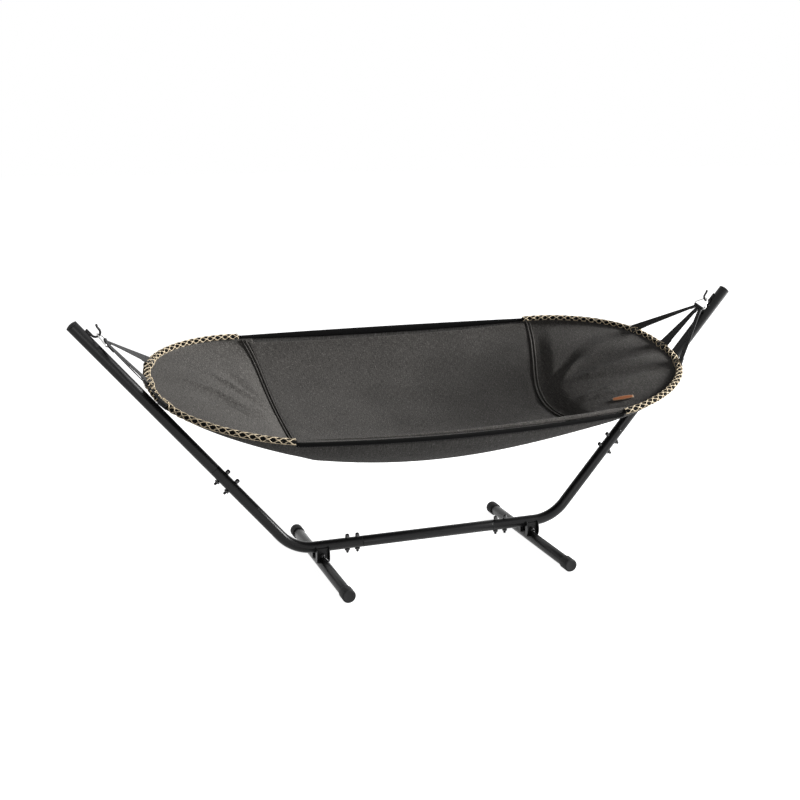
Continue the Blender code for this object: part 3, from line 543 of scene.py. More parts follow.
def skin_mesh(name, rows, around=False, cyclic=False, caps=False):
    """A mesh through rows of points, with a map in metres.

    Around joins each row's ends, cyclic joins the last row to the first, and caps closes the ends.
    """
    grid = np.asarray(rows, float)
    count, width = grid.shape[:2]
    faces = []
    corners = []
    for r in range(count if cyclic else count - 1):
        for c in range(width if around else width - 1):
            places = ((r, c), (r, c + 1), (r + 1, c + 1), (r + 1, c))
            faces.append([(a % count) * width + b % width for a, b in places])
            corners.extend(places)
    ring = np.concatenate([grid, grid[:, :1]], 1) if around else grid
    run = np.concatenate([grid, grid[:1]], 0) if cyclic else grid
    u = summed(np.linalg.norm(np.diff(ring, axis=1), axis=2).mean(0))
    v = summed(np.linalg.norm(np.diff(run, axis=0), axis=2).mean(1))
    mesh = bpy.data.meshes.new(name)
    mesh.from_pydata(grid.reshape(-1, 3).tolist(), [], faces)
    layer = mesh.uv_layers.new(name="metres")
    layer.uv.foreach_set("vector", np.array([(u[c], v[r]) for r, c in corners]).ravel())
    if caps:
        with editing(mesh) as bm:
            bmesh.ops.holes_fill(bm, edges=bm.edges, sides=0)
            bmesh.ops.recalc_face_normals(bm, faces=bm.faces)
    mesh.shade_smooth()
    return mesh


def sharpen(mesh, angle=40.0):
    mesh.set_sharp_from_angle(angle=math.radians(angle))
    return mesh


def unit(v):
    v = np.asarray(v, float)
    return v / np.linalg.norm(v, axis=-1, keepdims=True)


def swept_mesh(name, points, radii, sides=24, cyclic=False, round_ends=0.0):
    """A round wire or tube along points; its ends may be rounded over a length."""
    p = np.asarray(points, float)
    radii = np.broadcast_to(np.asarray(radii, float), (len(p),)).copy()
    if round_ends:
        turns = np.radians([75.0, 50.0, 25.0])
        rise = round_ends * np.sin(turns)[:, None]
        shares = np.cos(turns)
        first = p[0] + unit(p[0] - p[1]) * rise
        last = p[-1] + unit(p[-1] - p[-2]) * rise[::-1]
        p = np.concatenate([first, p, last])
        radii = np.concatenate([radii[0] * shares, radii, radii[-1] * shares[::-1]])
    if cyclic:
        tangents = unit(np.roll(p, -1, 0) - np.roll(p, 1, 0))
    else:
        tangents = unit(np.gradient(p, axis=0))
    normal = np.cross(tangents[0], (0.0, 0.0, 1.0))
    if np.linalg.norm(normal) < 0.2:
        normal = np.cross(tangents[0], (0.0, 1.0, 0.0))
    angles = full_turn(sides)
    rows = []
    for place, tangent, radius in zip(p, tangents, radii):
        normal = unit(normal - tangent * np.dot(normal, tangent))
        other = np.cross(tangent, normal)
        rows.append(place + radius * (np.outer(np.cos(angles), normal) + np.outer(np.sin(angles), other)))
    return skin_mesh(name, rows, around=True, cyclic=cyclic, caps=not cyclic)


def turned_mesh(name, profile, matrix, sides=48):
    """A profile of (radius, height) pairs turned about local Z."""
    angles = full_turn(sides)
    rows = [[(r * math.cos(a), r * math.sin(a), z) for a in angles] for r, z in profile]
    mesh = skin_mesh(name, rows, around=True)
    with editing(mesh) as bm:
        bmesh.ops.remove_doubles(bm, verts=bm.verts, dist=0.000002)
        bmesh.ops.recalc_face_normals(bm, faces=bm.faces)
    mesh.transform(matrix)
    return sharpen(mesh, 35.0)


def summed(steps):
    """The length from the start to each point of a line, from its steps."""
    return np.concatenate([[0.0], np.cumsum(steps)])


def full_turn(count):
    """Angles spread evenly round a circle."""
    return np.linspace(0.0, 2.0 * math.pi, count, endpoint=False)


def arc(centre, radius, start, end, steps):
    angles = np.radians(np.linspace(start, end, steps + 1))
    return [(centre[0] + radius * math.cos(a), centre[1] + radius * math.sin(a)) for a in angles]


def smoothstep(low, high, value):
    t = np.clip((np.asarray(value, float) - low) / (high - low), 0.0, 1.0)
    return t * t * (3.0 - 2.0 * t)


def group_tree(name, numbers):
    """A Geometry Nodes tree and its inputs: the lines, these numbers and a material."""
    tree = bpy.data.node_groups.new(name, "GeometryNodeTree")
    kinds = {"Geometry": "Geometry", **numbers, "Material": "Material"}
    for label, kind in kinds.items():
        tree.interface.new_socket(label, in_out="INPUT", socket_type=f"NodeSocket{kind}")
    tree.interface.new_socket("Geometry", in_out="OUTPUT", socket_type="NodeSocketGeometry")
    nodes = Nodes(tree)
    start = tree.nodes.new("NodeGroupInput")
    return nodes, {label: Value(nodes, start.outputs[label]) for label in kinds}


def end_tree(nodes, geometry, material):
    """Every tree ends the same way: instances made real, then the material."""
    real = nodes.node("GeometryNodeRealizeInstances", {"Geometry": geometry})
    painted = nodes.node("GeometryNodeSetMaterial", {"Geometry": real, "Material": material})
    nodes.node("NodeGroupOutput", {0: painted})
    return nodes.tree


def cord_tree():
    """Round cords along edges, with the length along them and the direction round them."""
    nodes, inputs = group_tree("round_cords", {"Cord radius": "Float", "Sides": "Int"})
    line = nodes.node("GeometryNodeMeshToCurve", {"Mesh": inputs["Geometry"]})
    length = nodes.node("GeometryNodeSplineParameter", output="Length")
    line = nodes.node("GeometryNodeStoreNamedAttribute",
                      {"Geometry": line, "Name": "along", "Value": length},
                      data_type="FLOAT", domain="POINT")
    circle = nodes.node("GeometryNodeCurvePrimitiveCircle",
                        {"Resolution": inputs["Sides"], "Radius": inputs["Cord radius"]})
    spot = nodes.node("GeometryNodeInputPosition")
    aim = nodes.node("ShaderNodeVectorMath", {0: spot}, operation="NORMALIZE")
    circle = nodes.node("GeometryNodeStoreNamedAttribute",
                        {"Geometry": circle, "Name": "round", "Value": aim},
                        data_type="FLOAT_VECTOR", domain="POINT")
    body = nodes.node("GeometryNodeCurveToMesh",
                      {"Curve": line, "Profile Curve": circle, "Fill Caps": True})
    soft = nodes.node("GeometryNodeSetShadeSmooth", {"Geometry": body})
    return end_tree(nodes, soft, inputs["Material"])


def stitch_tree():
    """A row of stitches along edges: small stretched balls at an even pitch."""
    nodes, inputs = group_tree(
        "stitches", {"Pitch": "Float", "Stitch length": "Float", "Thread radius": "Float"})
    line = nodes.node("GeometryNodeMeshToCurve", {"Mesh": inputs["Geometry"]})
    spots = nodes.node("GeometryNodeResampleCurve", {"Curve": line, "Length": inputs["Pitch"]},
                       mode="LENGTH")
    aim = nodes.node("GeometryNodeInputTangent")
    turn = nodes.node("FunctionNodeAlignRotationToVector", {"Vector": aim}, axis="Z")
    ball = nodes.node("GeometryNodeMeshUVSphere", {"Segments": 6, "Rings": 5, "Radius": 1.0})
    radius = inputs["Thread radius"]
    half = inputs["Stitch length"] * 0.5
    size = nodes.node("ShaderNodeCombineXYZ", {"X": radius, "Y": radius, "Z": half})
    many = nodes.node("GeometryNodeInstanceOnPoints",
                      {"Points": spots, "Instance": ball, "Rotation": turn, "Scale": size})
    return end_tree(nodes, many, inputs["Material"])


def grown(name, lines, tree, values, finish, *nodes):
    """Runs a tree on polylines of the bed and keeps the result as a plain mesh."""
    mesh = bpy.data.meshes.new(f"{name}_lines")
    edges = []
    first = 0
    for line in lines:
        edges += [(first + i, first + i + 1) for i in range(len(line) - 1)]
        first += len(line)
    mesh.from_pydata(np.concatenate(lines).tolist(), edges, [])
    source = linked(mesh.name, mesh)
    modifier = source.modifiers.new("grow", "NODES")
    modifier.node_group = tree
    values = {**values, "Material": FINISHES[finish]}
    for item in tree.interface.items_tree:
        if item.in_out == "INPUT" and item.name in values:
            modifier[item.identifier] = values[item.name]
    graph = bpy.context.evaluated_depsgraph_get()
    plain = bpy.data.meshes.new_from_object(source.evaluated_get(graph), depsgraph=graph)
    bpy.data.objects.remove(source, do_unlink=True)
    plain.name = name
    return new_object(plain, finish, "bed", *nodes)


CORDS = cord_tree()
STITCHES = stitch_tree()


def stitched(name, lines, finish="grey_thread", pitch=0.0032, length=0.0024, radius=0.00028):
    values = {"Pitch": pitch, "Stitch length": length, "Thread radius": radius}
    return grown(name, lines, STITCHES, values, finish)


# Stand

def stand_place(x, y=0.0, z=0.0):
    return Vector((x, STAND_Y + y, BASE_Z + z))


def arm_place(side, along, inward=0.0, y=0.0):
    """A point by a post: along its axis from the corner, and inwards from the axis."""
    x = CORNER_X + along * math.cos(POST_ANGLE) - inward * math.sin(POST_ANGLE)
    return stand_place(side * x, y, along * math.sin(POST_ANGLE) + inward * math.cos(POST_ANGLE))


def arm_matrix(side, along):
    lean = Matrix.Rotation(side * (math.pi / 2 - POST_ANGLE), 4, "Y")
    return Matrix.Translation(arm_place(side, along)) @ lean


def facing_front(place):
    """Turns local Z to the front of the stand at a place."""
    return Matrix.Translation(place) @ Matrix.Rotation(math.pi / 2, 4, "X")


def tube_profile(low, high, low_spigot, high_spigot):
    """Outside of a straight tube, from its low end to its high end, as a closed solid."""
    eased = [(TUBE_RADIUS + TUBE_EASE * (math.cos(a) - 1), TUBE_EASE * (1 - math.sin(a)))
             for a in np.radians([90.0, 60.0, 30.0, 0.0])]
    ends = []
    for spigot in (low_spigot, high_spigot):
        r, z = (SPIGOT, -SPIGOT_LENGTH) if spigot else (TUBE_RADIUS - TUBE_WALL, TUBE_MOUTH)
        ends.append([(0.0, z), (r, z), (r, 0.0)] + eased)
    return [(r, low + z) for r, z in ends[0]] + [(r, high - z) for r, z in reversed(ends[1])]


def straight_tube(name, node, matrix, *ends):
    new_object(turned_mesh(name, tube_profile(*ends), matrix), "powder_coat", "stand", node)


def make_tubes():
    """The base tube, and on each side a post, a bent tube and a foot."""
    sideways = Matrix.Translation(stand_place(0.0)) @ Matrix.Rotation(math.pi / 2, 4, "Y")
    straight_tube("tube_base", "base_tube", sideways, -BASE_JOINT, BASE_JOINT, True, True)
    for word, side in SIDES.items():
        straight_tube(f"tube_post_{word}", f"post_{word}", arm_matrix(side, 0.0),
                      ARM_JOINT, POST_END, True, False)
        start_x = CORNER_X - BEND_RADIUS * math.tan(POST_ANGLE / 2)
        first = stand_place(side * (BASE_JOINT + GAP))
        points = [first, first + Vector((side * TUBE_EASE, 0.0, 0.0))]
        for x, z in arc((start_x, BEND_RADIUS), BEND_RADIUS, -90.0, math.degrees(POST_ANGLE) - 90.0, 28):
            points.append(stand_place(side * x, 0.0, z))
        points += [arm_place(side, ARM_JOINT - GAP - TUBE_EASE), arm_place(side, ARM_JOINT - GAP)]
        radii = [TUBE_RADIUS] * len(points)
        radii[0] = radii[-1] = TUBE_RADIUS - TUBE_NIP
        mesh = sharpen(swept_mesh(f"tube_bend_{word}", points, radii, 48), 30.0)
        new_object(mesh, "powder_coat", "stand", f"bend_{word}")
        foot = facing_front(stand_place(side * FOOT_X, 0.0, -FOOT_DROP))
        straight_tube(f"tube_foot_{word}", f"foot_{word}", foot, -FOOT_HALF, FOOT_HALF, False, False)


def make_caps():
    """The plastic caps of posts and feet; the feet's are cut flat where they touch the floor."""
    post = [(TUBE_RADIUS * s, 0.0006 + 0.0020 * (1 - s ** 2.6))
            for s in (0.0, 0.2, 0.4, 0.6, 0.75, 0.87, 0.95)]
    post += [(TUBE_RADIUS - 0.0001, 0.0007), (TUBE_RADIUS, 0.0004), (TUBE_RADIUS, 0.0),
             (PLUG_RADIUS, 0.0), (PLUG_RADIUS, -PLUG_LENGTH), (0.0, -PLUG_LENGTH)]
    radius, bore = FOOT_CAP_RADIUS, TUBE_RADIUS + 0.0001
    foot = [(0.0, -0.0006), (0.0045, -0.0004), (0.0060, -0.0002)]
    foot += arc((radius - FOOT_CAP_ROUND, -FOOT_CAP_ROUND), FOOT_CAP_ROUND, 90.0, 0.0, 6)
    foot += [(radius - inset, rise - FOOT_CAP_LENGTH)
             for inset, rise in ((0.0, 0.0010), (0.0003, 0.0003), (0.0007, 0.0))]
    foot += [(bore, -FOOT_CAP_LENGTH), (bore, -FOOT_CAP_FACE), (0.0, -FOOT_CAP_FACE)]
    for word, side in SIDES.items():
        mesh = turned_mesh(f"cap_post_{word}", post, arm_matrix(side, POST_END + GAP))
        new_object(mesh, "cap_plastic", "stand", f"post_cap_{word}")
        for end, y_side in ENDS.items():
            reach = y_side * (FOOT_HALF + GAP + FOOT_CAP_FACE)
            place = Matrix.Translation(stand_place(side * FOOT_X, reach, -FOOT_DROP))
            turn = Matrix.Rotation(-y_side * math.pi / 2, 4, "X")
            mesh = turned_mesh(f"cap_foot_{word}_{end}", foot, place @ turn)
            for vertex in mesh.vertices:
                vertex.co.z = max(vertex.co.z, 0.0)
            new_object(mesh, "cap_plastic", "stand", f"foot_cap_{word}_{end}")


def bolt_profile(grip):
    """Domed head with a driving socket, a shank, and a tail with its threads."""
    r = BOLT_HEAD
    profile = [(0.0, BOLT_RISE - SOCKET_DEPTH), (SOCKET_RADIUS, BOLT_RISE - SOCKET_DEPTH),
               (SOCKET_RADIUS, BOLT_RISE - 0.0001)]
    profile += [(r * s, BOLT_RISE - 0.0016 * s ** 3) for s in (0.5, 0.68, 0.82, 0.93)]
    profile += [(r, BOLT_RISE - 0.0019), (r, 0.0001), (r - 0.0001, 0.0), (BOLT_RADIUS, 0.0)]
    end = -(grip + BOLT_TAIL)
    z = -grip * 0.6
    while z > end + 0.0008:
        profile += [(BOLT_RADIUS, z), (BOLT_RADIUS - THREAD_DEPTH, z - THREAD_PITCH / 2)]
        z -= THREAD_PITCH
    return profile + [(BOLT_RADIUS - 0.0005, end + 0.0001), (BOLT_RADIUS - 0.0007, end), (0.0, end)]


def nut_mesh(name, radius, matrix):
    """A hexagon nut with chamfered corners and a plain bore."""
    rows = []
    for share, height in ((NUT_BORE_SHARE, NUT_HEIGHT), (NUT_FACE_SHARE, NUT_HEIGHT),
                          (1.0, NUT_HEIGHT - NUT_CHAMFER), (1.0, NUT_CHAMFER),
                          (NUT_FACE_SHARE, 0.0), (NUT_BORE_SHARE, 0.0)):
        ring = []
        for i in range(48):
            a = 2.0 * math.pi * i / 48
            flat = math.cos(math.pi / 6) / math.cos((a % (math.pi / 3)) - math.pi / 6)
            reach = radius * min(flat, share)
            ring.append((reach * math.cos(a), reach * math.sin(a), height))
        rows.append(ring)
    mesh = skin_mesh(name, rows, around=True, cyclic=True)
    mesh.transform(matrix)
    with editing(mesh) as bm:
        bmesh.ops.recalc_face_normals(bm, faces=bm.faces)
    return sharpen(mesh, 25.0)


def bolt_and_nut(tag, place, reach, nut_radius):
    """A bolt along local Z and its nut, either side of what they hold."""
    above = place @ Matrix.Translation((0.0, 0.0, reach))
    below = place @ Matrix.Translation((0.0, 0.0, -reach - NUT_HEIGHT))
    mesh = turned_mesh(f"screw_{tag}", bolt_profile(2 * reach + NUT_HEIGHT), above, 24)
    new_object(mesh, "bolt_steel", "stand", f"bolt_{tag}")
    new_object(nut_mesh(f"hexnut_{tag}", nut_radius, below), "bolt_steel", "stand", f"nut_{tag}")


def make_bolts():
    """Two bolts with nuts at each tube joint, and one through each saddle."""
    for word, side in SIDES.items():
        turn = Matrix.Rotation(-side * POST_ANGLE, 4, "Y")
        arm = [Matrix.Translation(arm_place(side, ARM_JOINT - d)) @ turn for d in ARM_BOLTS]
        base = [Matrix.Translation(stand_place(side * (BASE_JOINT + d))) for d in BASE_BOLTS]
        for joint, places in (("post", arm), ("base", base)):
            for number, place in enumerate(places, 1):
                bolt_and_nut(f"{joint}_{word}_{number}", place, TUBE_RADIUS + GAP, NUT_RADIUS)
        forward = facing_front(stand_place(side * FOOT_X, 0.0, -(TUBE_RADIUS + BOLT_RADIUS + GAP)))
        bolt_and_nut(f"saddle_{word}", forward, TUBE_RADIUS + SADDLE_WEB + 2 * GAP, SADDLE_NUT_RADIUS)


def make_hooks():
    """Bent wire hooks and the weld beads that hold them to the posts."""
    weld_top, tip = POST_END - HOOK_WELD_TOP, POST_END - HOOK_TIP
    centre = (POST_END - HOOK_BOTTOM + HOOK_BEND, HOOK_LEG + HOOK_BEND)
    outer = HOOK_LEG + 2 * HOOK_BEND
    legs = [(weld_top, HOOK_LEG), *arc(centre, HOOK_BEND, 270.0, 90.0, 24),
            ((centre[0] + tip) / 2, outer + 0.2 * HOOK_FLARE), (tip, outer + HOOK_FLARE)]
    low = centre[0] + 0.0012
    shares = np.linspace(0.0, 1.0, 41)
    ripples = 0.5 + 0.5 * np.cos(2.0 * math.pi * shares * WELD_RIPPLES)
    radii = (WELD_RADIUS + WELD_RIPPLE * ripples) * np.sin(math.pi * (0.08 + 0.84 * shares)) ** 0.4
    for word, side in SIDES.items():
        points = [arm_place(side, along, inward) for along, inward in legs]
        mesh = swept_mesh(f"wire_hook_{word}", points, HOOK_WIRE, 20, round_ends=0.0005)
        new_object(sharpen(mesh, 50.0), "powder_coat", "stand", f"hook_{word}")
        for end, edge in ENDS.items():
            beads = [arm_place(side, low + share * (weld_top - low - 0.0006), TUBE_RADIUS + 0.0003,
                               edge * WELD_SIDE) for share in shares]
            mesh = swept_mesh(f"weld_{word}_{end}", beads, radii, 12, round_ends=0.0004)
            new_object(mesh, "powder_coat", "stand")


def make_saddle_covers():
    """The pressed saddles, with the edges of the pressing eased."""
    for word in SIDES:
        for end in ENDS:
            node = f"saddle_{word}_{end}"
            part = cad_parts[node]
            mesh = part.data.copy()
            mesh.name = f"pressing_{word}_{end}"
            mesh.transform(part.matrix_world)
            with editing(mesh) as bm:
                bmesh.ops.remove_doubles(bm, verts=bm.verts, dist=MERGE)
                bmesh.ops.dissolve_limit(bm, angle_limit=math.radians(1.0), verts=bm.verts, edges=bm.edges)
            mesh.shade_smooth()
            obj = new_object(mesh, "powder_coat", "stand")
            bevel = obj.modifiers.new("eased", "BEVEL")
            bevel.width = 0.00035
            bevel.segments = 2
            bevel.limit_method = "ANGLE"
            bevel.angle_limit = math.radians(40.0)
            bevel.harden_normals = True
            sharpen(mesh)
            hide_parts(node)


# Bed

def to_world(points):
    """Bed points, as it hangs plumb from the hooks, into the tipped place of the photograph."""
    p = np.asarray(points, float)
    c, s = math.cos(SWING), math.sin(SWING)
    return np.stack([p[..., 0], c * p[..., 1] - s * p[..., 2], s * p[..., 1] + c * p[..., 2]], -1) + PIVOT


def bow_point(angle, side):
    """A bow's axis; -90 and 90 are its ends at the hems and 0 is its tip."""
    a = np.radians(angle)
    reach = np.abs(np.cos(a)) ** BOW_X_POWER
    x = SEAM_X + (TIP_X - SEAM_X) * reach
    y = SEAM_Y * np.sign(np.sin(a)) * np.abs(np.sin(a)) ** BOW_Y_POWER
    z = -SEAM_DROP + (SEAM_DROP - TIP_DROP) * reach
    return np.stack([side * x, y, z], -1)


class BowPath:
    """A bow's axis by length, measured from its tip towards the back."""

    def __init__(self, side):
        self.side = side
        self.points = bow_point(np.linspace(-90.0, 90.0, 1441), side)
        self.lengths = summed(np.linalg.norm(np.diff(self.points, axis=0), axis=1))
        self.half = self.lengths[-1] / 2

    def at(self, distance):
        wanted = np.asarray(distance, float) + self.half
        return np.stack([np.interp(wanted, self.lengths, self.points[:, i]) for i in range(3)], -1)

    def frame(self, distance):
        """Place, tangent towards the back, outward and upward directions."""
        d = np.asarray(distance, float)
        tangent = unit(self.at(d + 0.002) - self.at(d - 0.002))
        outward = np.stack([tangent[..., 1], -tangent[..., 0], 0.0 * tangent[..., 0]], -1)
        outward = unit(outward) * self.side
        upward = np.cross(outward, tangent) * self.side
        return self.at(d), tangent, outward, upward


PATHS = {word: BowPath(side) for word, side in SIDES.items()}


def half_width(x):
    """Half the bed's width and the outline's drop at a distance from its middle."""
    x = np.abs(np.asarray(x, float))
    rise = 1.0 - np.minimum(x / SEAM_X, 1.0) ** 2
    reach = np.clip((x - SEAM_X) / (TIP_X - SEAM_X), 0.0, 1.0)
    sine = np.sqrt(np.maximum(1.0 - reach ** (2.0 / BOW_X_POWER), 0.0))
    width = np.where(x <= SEAM_X, SEAM_Y + HEM_BOW * rise, SEAM_Y * sine ** BOW_Y_POWER)
    drop = np.where(x <= SEAM_X, SEAM_DROP + HEM_SAG * rise, SEAM_DROP - (SEAM_DROP - TIP_DROP) * reach)
    return width, drop


def keel_height(x):
    """Height of the cloth's lowest line at a distance from the bed's middle."""
    middle = -KEEL_DROP + KEEL_CURVE * x * x + KEEL_LEAN * x
    turn = np.copysign(KEEL_BREAK, x)
    low = -KEEL_DROP + KEEL_CURVE * turn * turn + KEEL_LEAN * turn
    share = (np.abs(x) - KEEL_BREAK) / (TIP_X - KEEL_BREAK)
    end = low + (-TIP_DROP - EDGE_DROP - low) * share + 4.0 * KEEL_LIFT * share * (1.0 - share)
    blend = smoothstep(KEEL_BREAK - KEEL_BLEND, KEEL_BREAK + KEEL_BLEND, np.abs(x))
    return middle + (end - middle) * blend


def fold_height(x, y, width):
    """Rise of the soft folds, which fan out from the middle of each seam."""
    reach = np.maximum(np.abs(x) - FOLD_START, 1e-9)
    turn = np.degrees(np.arctan2(y, reach)) - FOLD_AIM
    across = np.clip(np.abs(y) / np.maximum(width, GAP), 0.0, 1.0)
    strength = smoothstep(0.0, FOLD_GROWTH, reach) * (1.0 - across ** 2)
    strength = strength * (1.0 - (x / TIP_X) ** 6)
    strength = strength * (1.0 - smoothstep(FOLD_FAN / 2, FOLD_FAN, np.abs(turn)))
    return -FOLD_RISE * strength * np.cos(np.radians(360.0 * turn / FOLD_PERIOD))


def ridge(x, y, line, wide, high):
    """A soft ridge of the cloth along a line of points, dying away at both ends."""
    line = np.asarray(line, float)
    nearest = np.full(np.shape(x), 1.0)
    along = np.zeros(np.shape(x))
    total = np.linalg.norm(np.diff(line, axis=0), axis=1).sum()
    run = 0.0
    for a, b in zip(line, line[1:]):
        step = b - a
        length = np.linalg.norm(step)
        t = np.clip(((x - a[0]) * step[0] + (y - a[1]) * step[1]) / length ** 2, 0.0, 1.0)
        gap = np.hypot(x - a[0] - t * step[0], y - a[1] - t * step[1])
        closer = gap < nearest
        nearest = np.where(closer, gap, nearest)
        along = np.where(closer, (run + t * length) / total, along)
        run += length
    ends = smoothstep(0.0, RIDGE_START, along) * smoothstep(0.0, RIDGE_END, 1.0 - along)
    spread = wide * (0.5 + 0.9 * along)
    return RIDGE_GAIN * high * ends * np.exp(-(nearest / spread) ** RIDGE_POWER)


# Each fold of the linings: the line of its crest, its width and its height

RIDGES = (
    (((-0.205, 0.014), (-0.228, 0.040), (-0.256, 0.057), (-0.276, 0.072), (-0.300, 0.098)), 0.0044, 0.0044),
    (((-0.206, -0.022), (-0.234, -0.007), (-0.259, 0.007), (-0.286, 0.023), (-0.321, 0.035),
      (-0.350, 0.048)), 0.0048, 0.0042),
    (((-0.214, 0.045), (-0.227, 0.058), (-0.241, 0.075), (-0.260, 0.095), (-0.282, 0.109)),
     0.0075, -0.0034),
    (((-0.240, -0.030), (-0.262, -0.019), (-0.284, -0.004), (-0.311, -0.007), (-0.335, -0.010)),
     0.0075, -0.0032),
    (((0.187, -0.058), (0.228, -0.064), (0.276, -0.067), (0.313, -0.065), (0.345, -0.069)), 0.0034, 0.0021),
    (((0.240, -0.022), (0.257, -0.017), (0.276, -0.011), (0.303, -0.015), (0.362, -0.027)), 0.0032, 0.0018),
    (((0.200, -0.070), (0.213, -0.073), (0.263, -0.080), (0.300, -0.086)), 0.0030, 0.0016),
    (((0.243, 0.146), (0.236, 0.113), (0.217, 0.058), (0.200, 0.006), (0.194, -0.029),
      (0.192, -0.063), (0.197, -0.108)), 0.0095, -0.0034),
    (((0.202, -0.007), (0.223, 0.013), (0.249, 0.037), (0.282, 0.068)), 0.0085, -0.0046),
    (((0.216, -0.002), (0.226, 0.004), (0.246, 0.020), (0.275, 0.040)), 0.0050, 0.0022),
)


def cloth_point(x, angle, inset=0.0, ridges=False):
    """The cloth at a distance along the bed and an angle across it, moved inwards by inset.

    With ridges it is the lining of an end, with its loft and its tension folds.
    """
    x = np.asarray(x, float)
    a = np.asarray(angle, float)
    width, drop = half_width(x)
    y = np.maximum(width - inset, 0.0) * np.sin(a)
    edge = -drop - EDGE_DROP
    depth = np.maximum(edge - keel_height(x) - inset, 0.0)
    z = edge - depth * np.cos(a)
    near_bow = np.where(a > 0.0, smoothstep(*BACK_EDGE, np.abs(x)), smoothstep(*FRONT_EDGE, np.abs(x)))
    z = z + EDGE_RISE * np.exp((z - edge) / EDGE_REACH) * near_bow
    z = z + fold_height(x, y, width)
    if ridges:
        side = 1 if np.mean(x) > 0.0 else -1
        past_seam = side * (x - seam_x(side, a))
        loft = LINING_LOFT * smoothstep(*LOFT_START, past_seam) * (1.0 - (np.abs(x) / TIP_X) ** 8)
        folds = sum(ridge(x, y, line, wide, high) for line, wide, high in RIDGES)
        z = z + np.maximum(loft * (1.0 - np.sin(a) ** 4) + folds * (1.0 - np.sin(a) ** 6), 0.0)
    return np.stack([x + 0.0 * y, y, z], -1)


# The seams of the middle panel: angles across the bed, and the distance from its middle at each

SEAM_ANGLES = {
    "left": (-90.0, -70.0, -45.0, -20.0, 0.0, 20.0, 43.0, 56.0, 67.0, 80.0, 90.0),
    "right": (-90.0, -78.0, -60.0, -40.0, -22.0, -10.0, 2.0, 11.0, 20.0, 30.0, 42.0, 50.0, 62.0, 79.0,
              90.0)}
SEAM_REACH = {
    "left": (0.2230, 0.2110, 0.2040, 0.2010, 0.2000, 0.2010, 0.2035, 0.2060, 0.2100, 0.2160, 0.2230),
    "right": (0.2230, 0.2120, 0.1960, 0.1830, 0.1780, 0.1795, 0.1866, 0.1948, 0.2042, 0.2145, 0.2243,
              0.2300, 0.2350, 0.2380, 0.2350)}


def seam_x(side, angle):
    """Where the middle panel is sewn to the end, at an angle across the bed."""
    word = "left" if side < 0 else "right"
    turn = np.degrees(angle)
    shifts = (-5.0, -2.5, 0.0, 2.5, 5.0)
    reach = sum(np.interp(turn + shift, SEAM_ANGLES[word], SEAM_REACH[word]) for shift in shifts)
    return side * reach / len(shifts)


def cloth_piece(name, rows, thickness, finish):
    """A sheet of cloth with its real thickness, as an object that moves with the bed."""
    mesh = skin_mesh(name, to_world(rows))
    with editing(mesh) as bm:
        bmesh.ops.remove_doubles(bm, verts=bm.verts, dist=MERGE)
    obj = new_object(mesh, finish, "bed")
    thicken(obj, thickness)
    return obj


ACROSS = np.radians(np.linspace(-90.0, 90.0, 97))


def make_outer_shell():
    """The outer cloth, hung along its whole edge."""
    shares = np.sin(np.radians(np.linspace(-90.0, 90.0, 141)))
    rows = [cloth_point(x, ACROSS, -SHELL_OUT) for x in shares * (TIP_X - SHELL_OUT)]
    obj = cloth_piece("outer_shell", rows, SHELL_THICKNESS, "outer_cloth")
    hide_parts("cloth_left", "cloth_middle", "cloth_right")
    return obj, rows


def make_linings():
    """The inner cloth of each end, from the seam to the bow, with its tension folds."""
    made = []
    for word, side in SIDES.items():
        start = seam_x(side, ACROSS) - side * LINING_TUCK
        end = side * (TIP_X - LINING_SHORT)
        shares = np.sin(np.radians(np.linspace(0.0, 90.0, 101)))
        rows = [cloth_point(start + (end - start) * share, ACROSS, LINING_INSET, ridges=True)
                for share in shares]
        if side < 0:
            rows = [row[::-1] for row in rows]
        made.append((cloth_piece(f"end_lining_{word}", rows, LINING_THICKNESS, "inner_cloth"), rows))
    return made


def panel_rows(lift, across, along):
    """Rows of the middle panel at a height above the shell's inner face."""
    left, right = seam_x(-1, across), seam_x(1, across)
    return np.array([cloth_point(left + (right - left) * share, across, SHELL_FACE + lift)
                     for share in along])


def panel_waves(x, angle):
    """Faint cross-waves and a crease of the padded panel."""
    waves = 0.00045 * np.sin(x / 0.0163 + 1.3 * np.sin(3.0 * angle) + 1.0)
    waves = waves + 0.00055 * np.sin(angle * 13.0 + 1.7 * np.sin(x / 0.061))
    return waves + ridge(x, angle, ((0.160, -0.10), (0.185, -0.16), (0.205, -0.24)), 0.012, -0.0022)


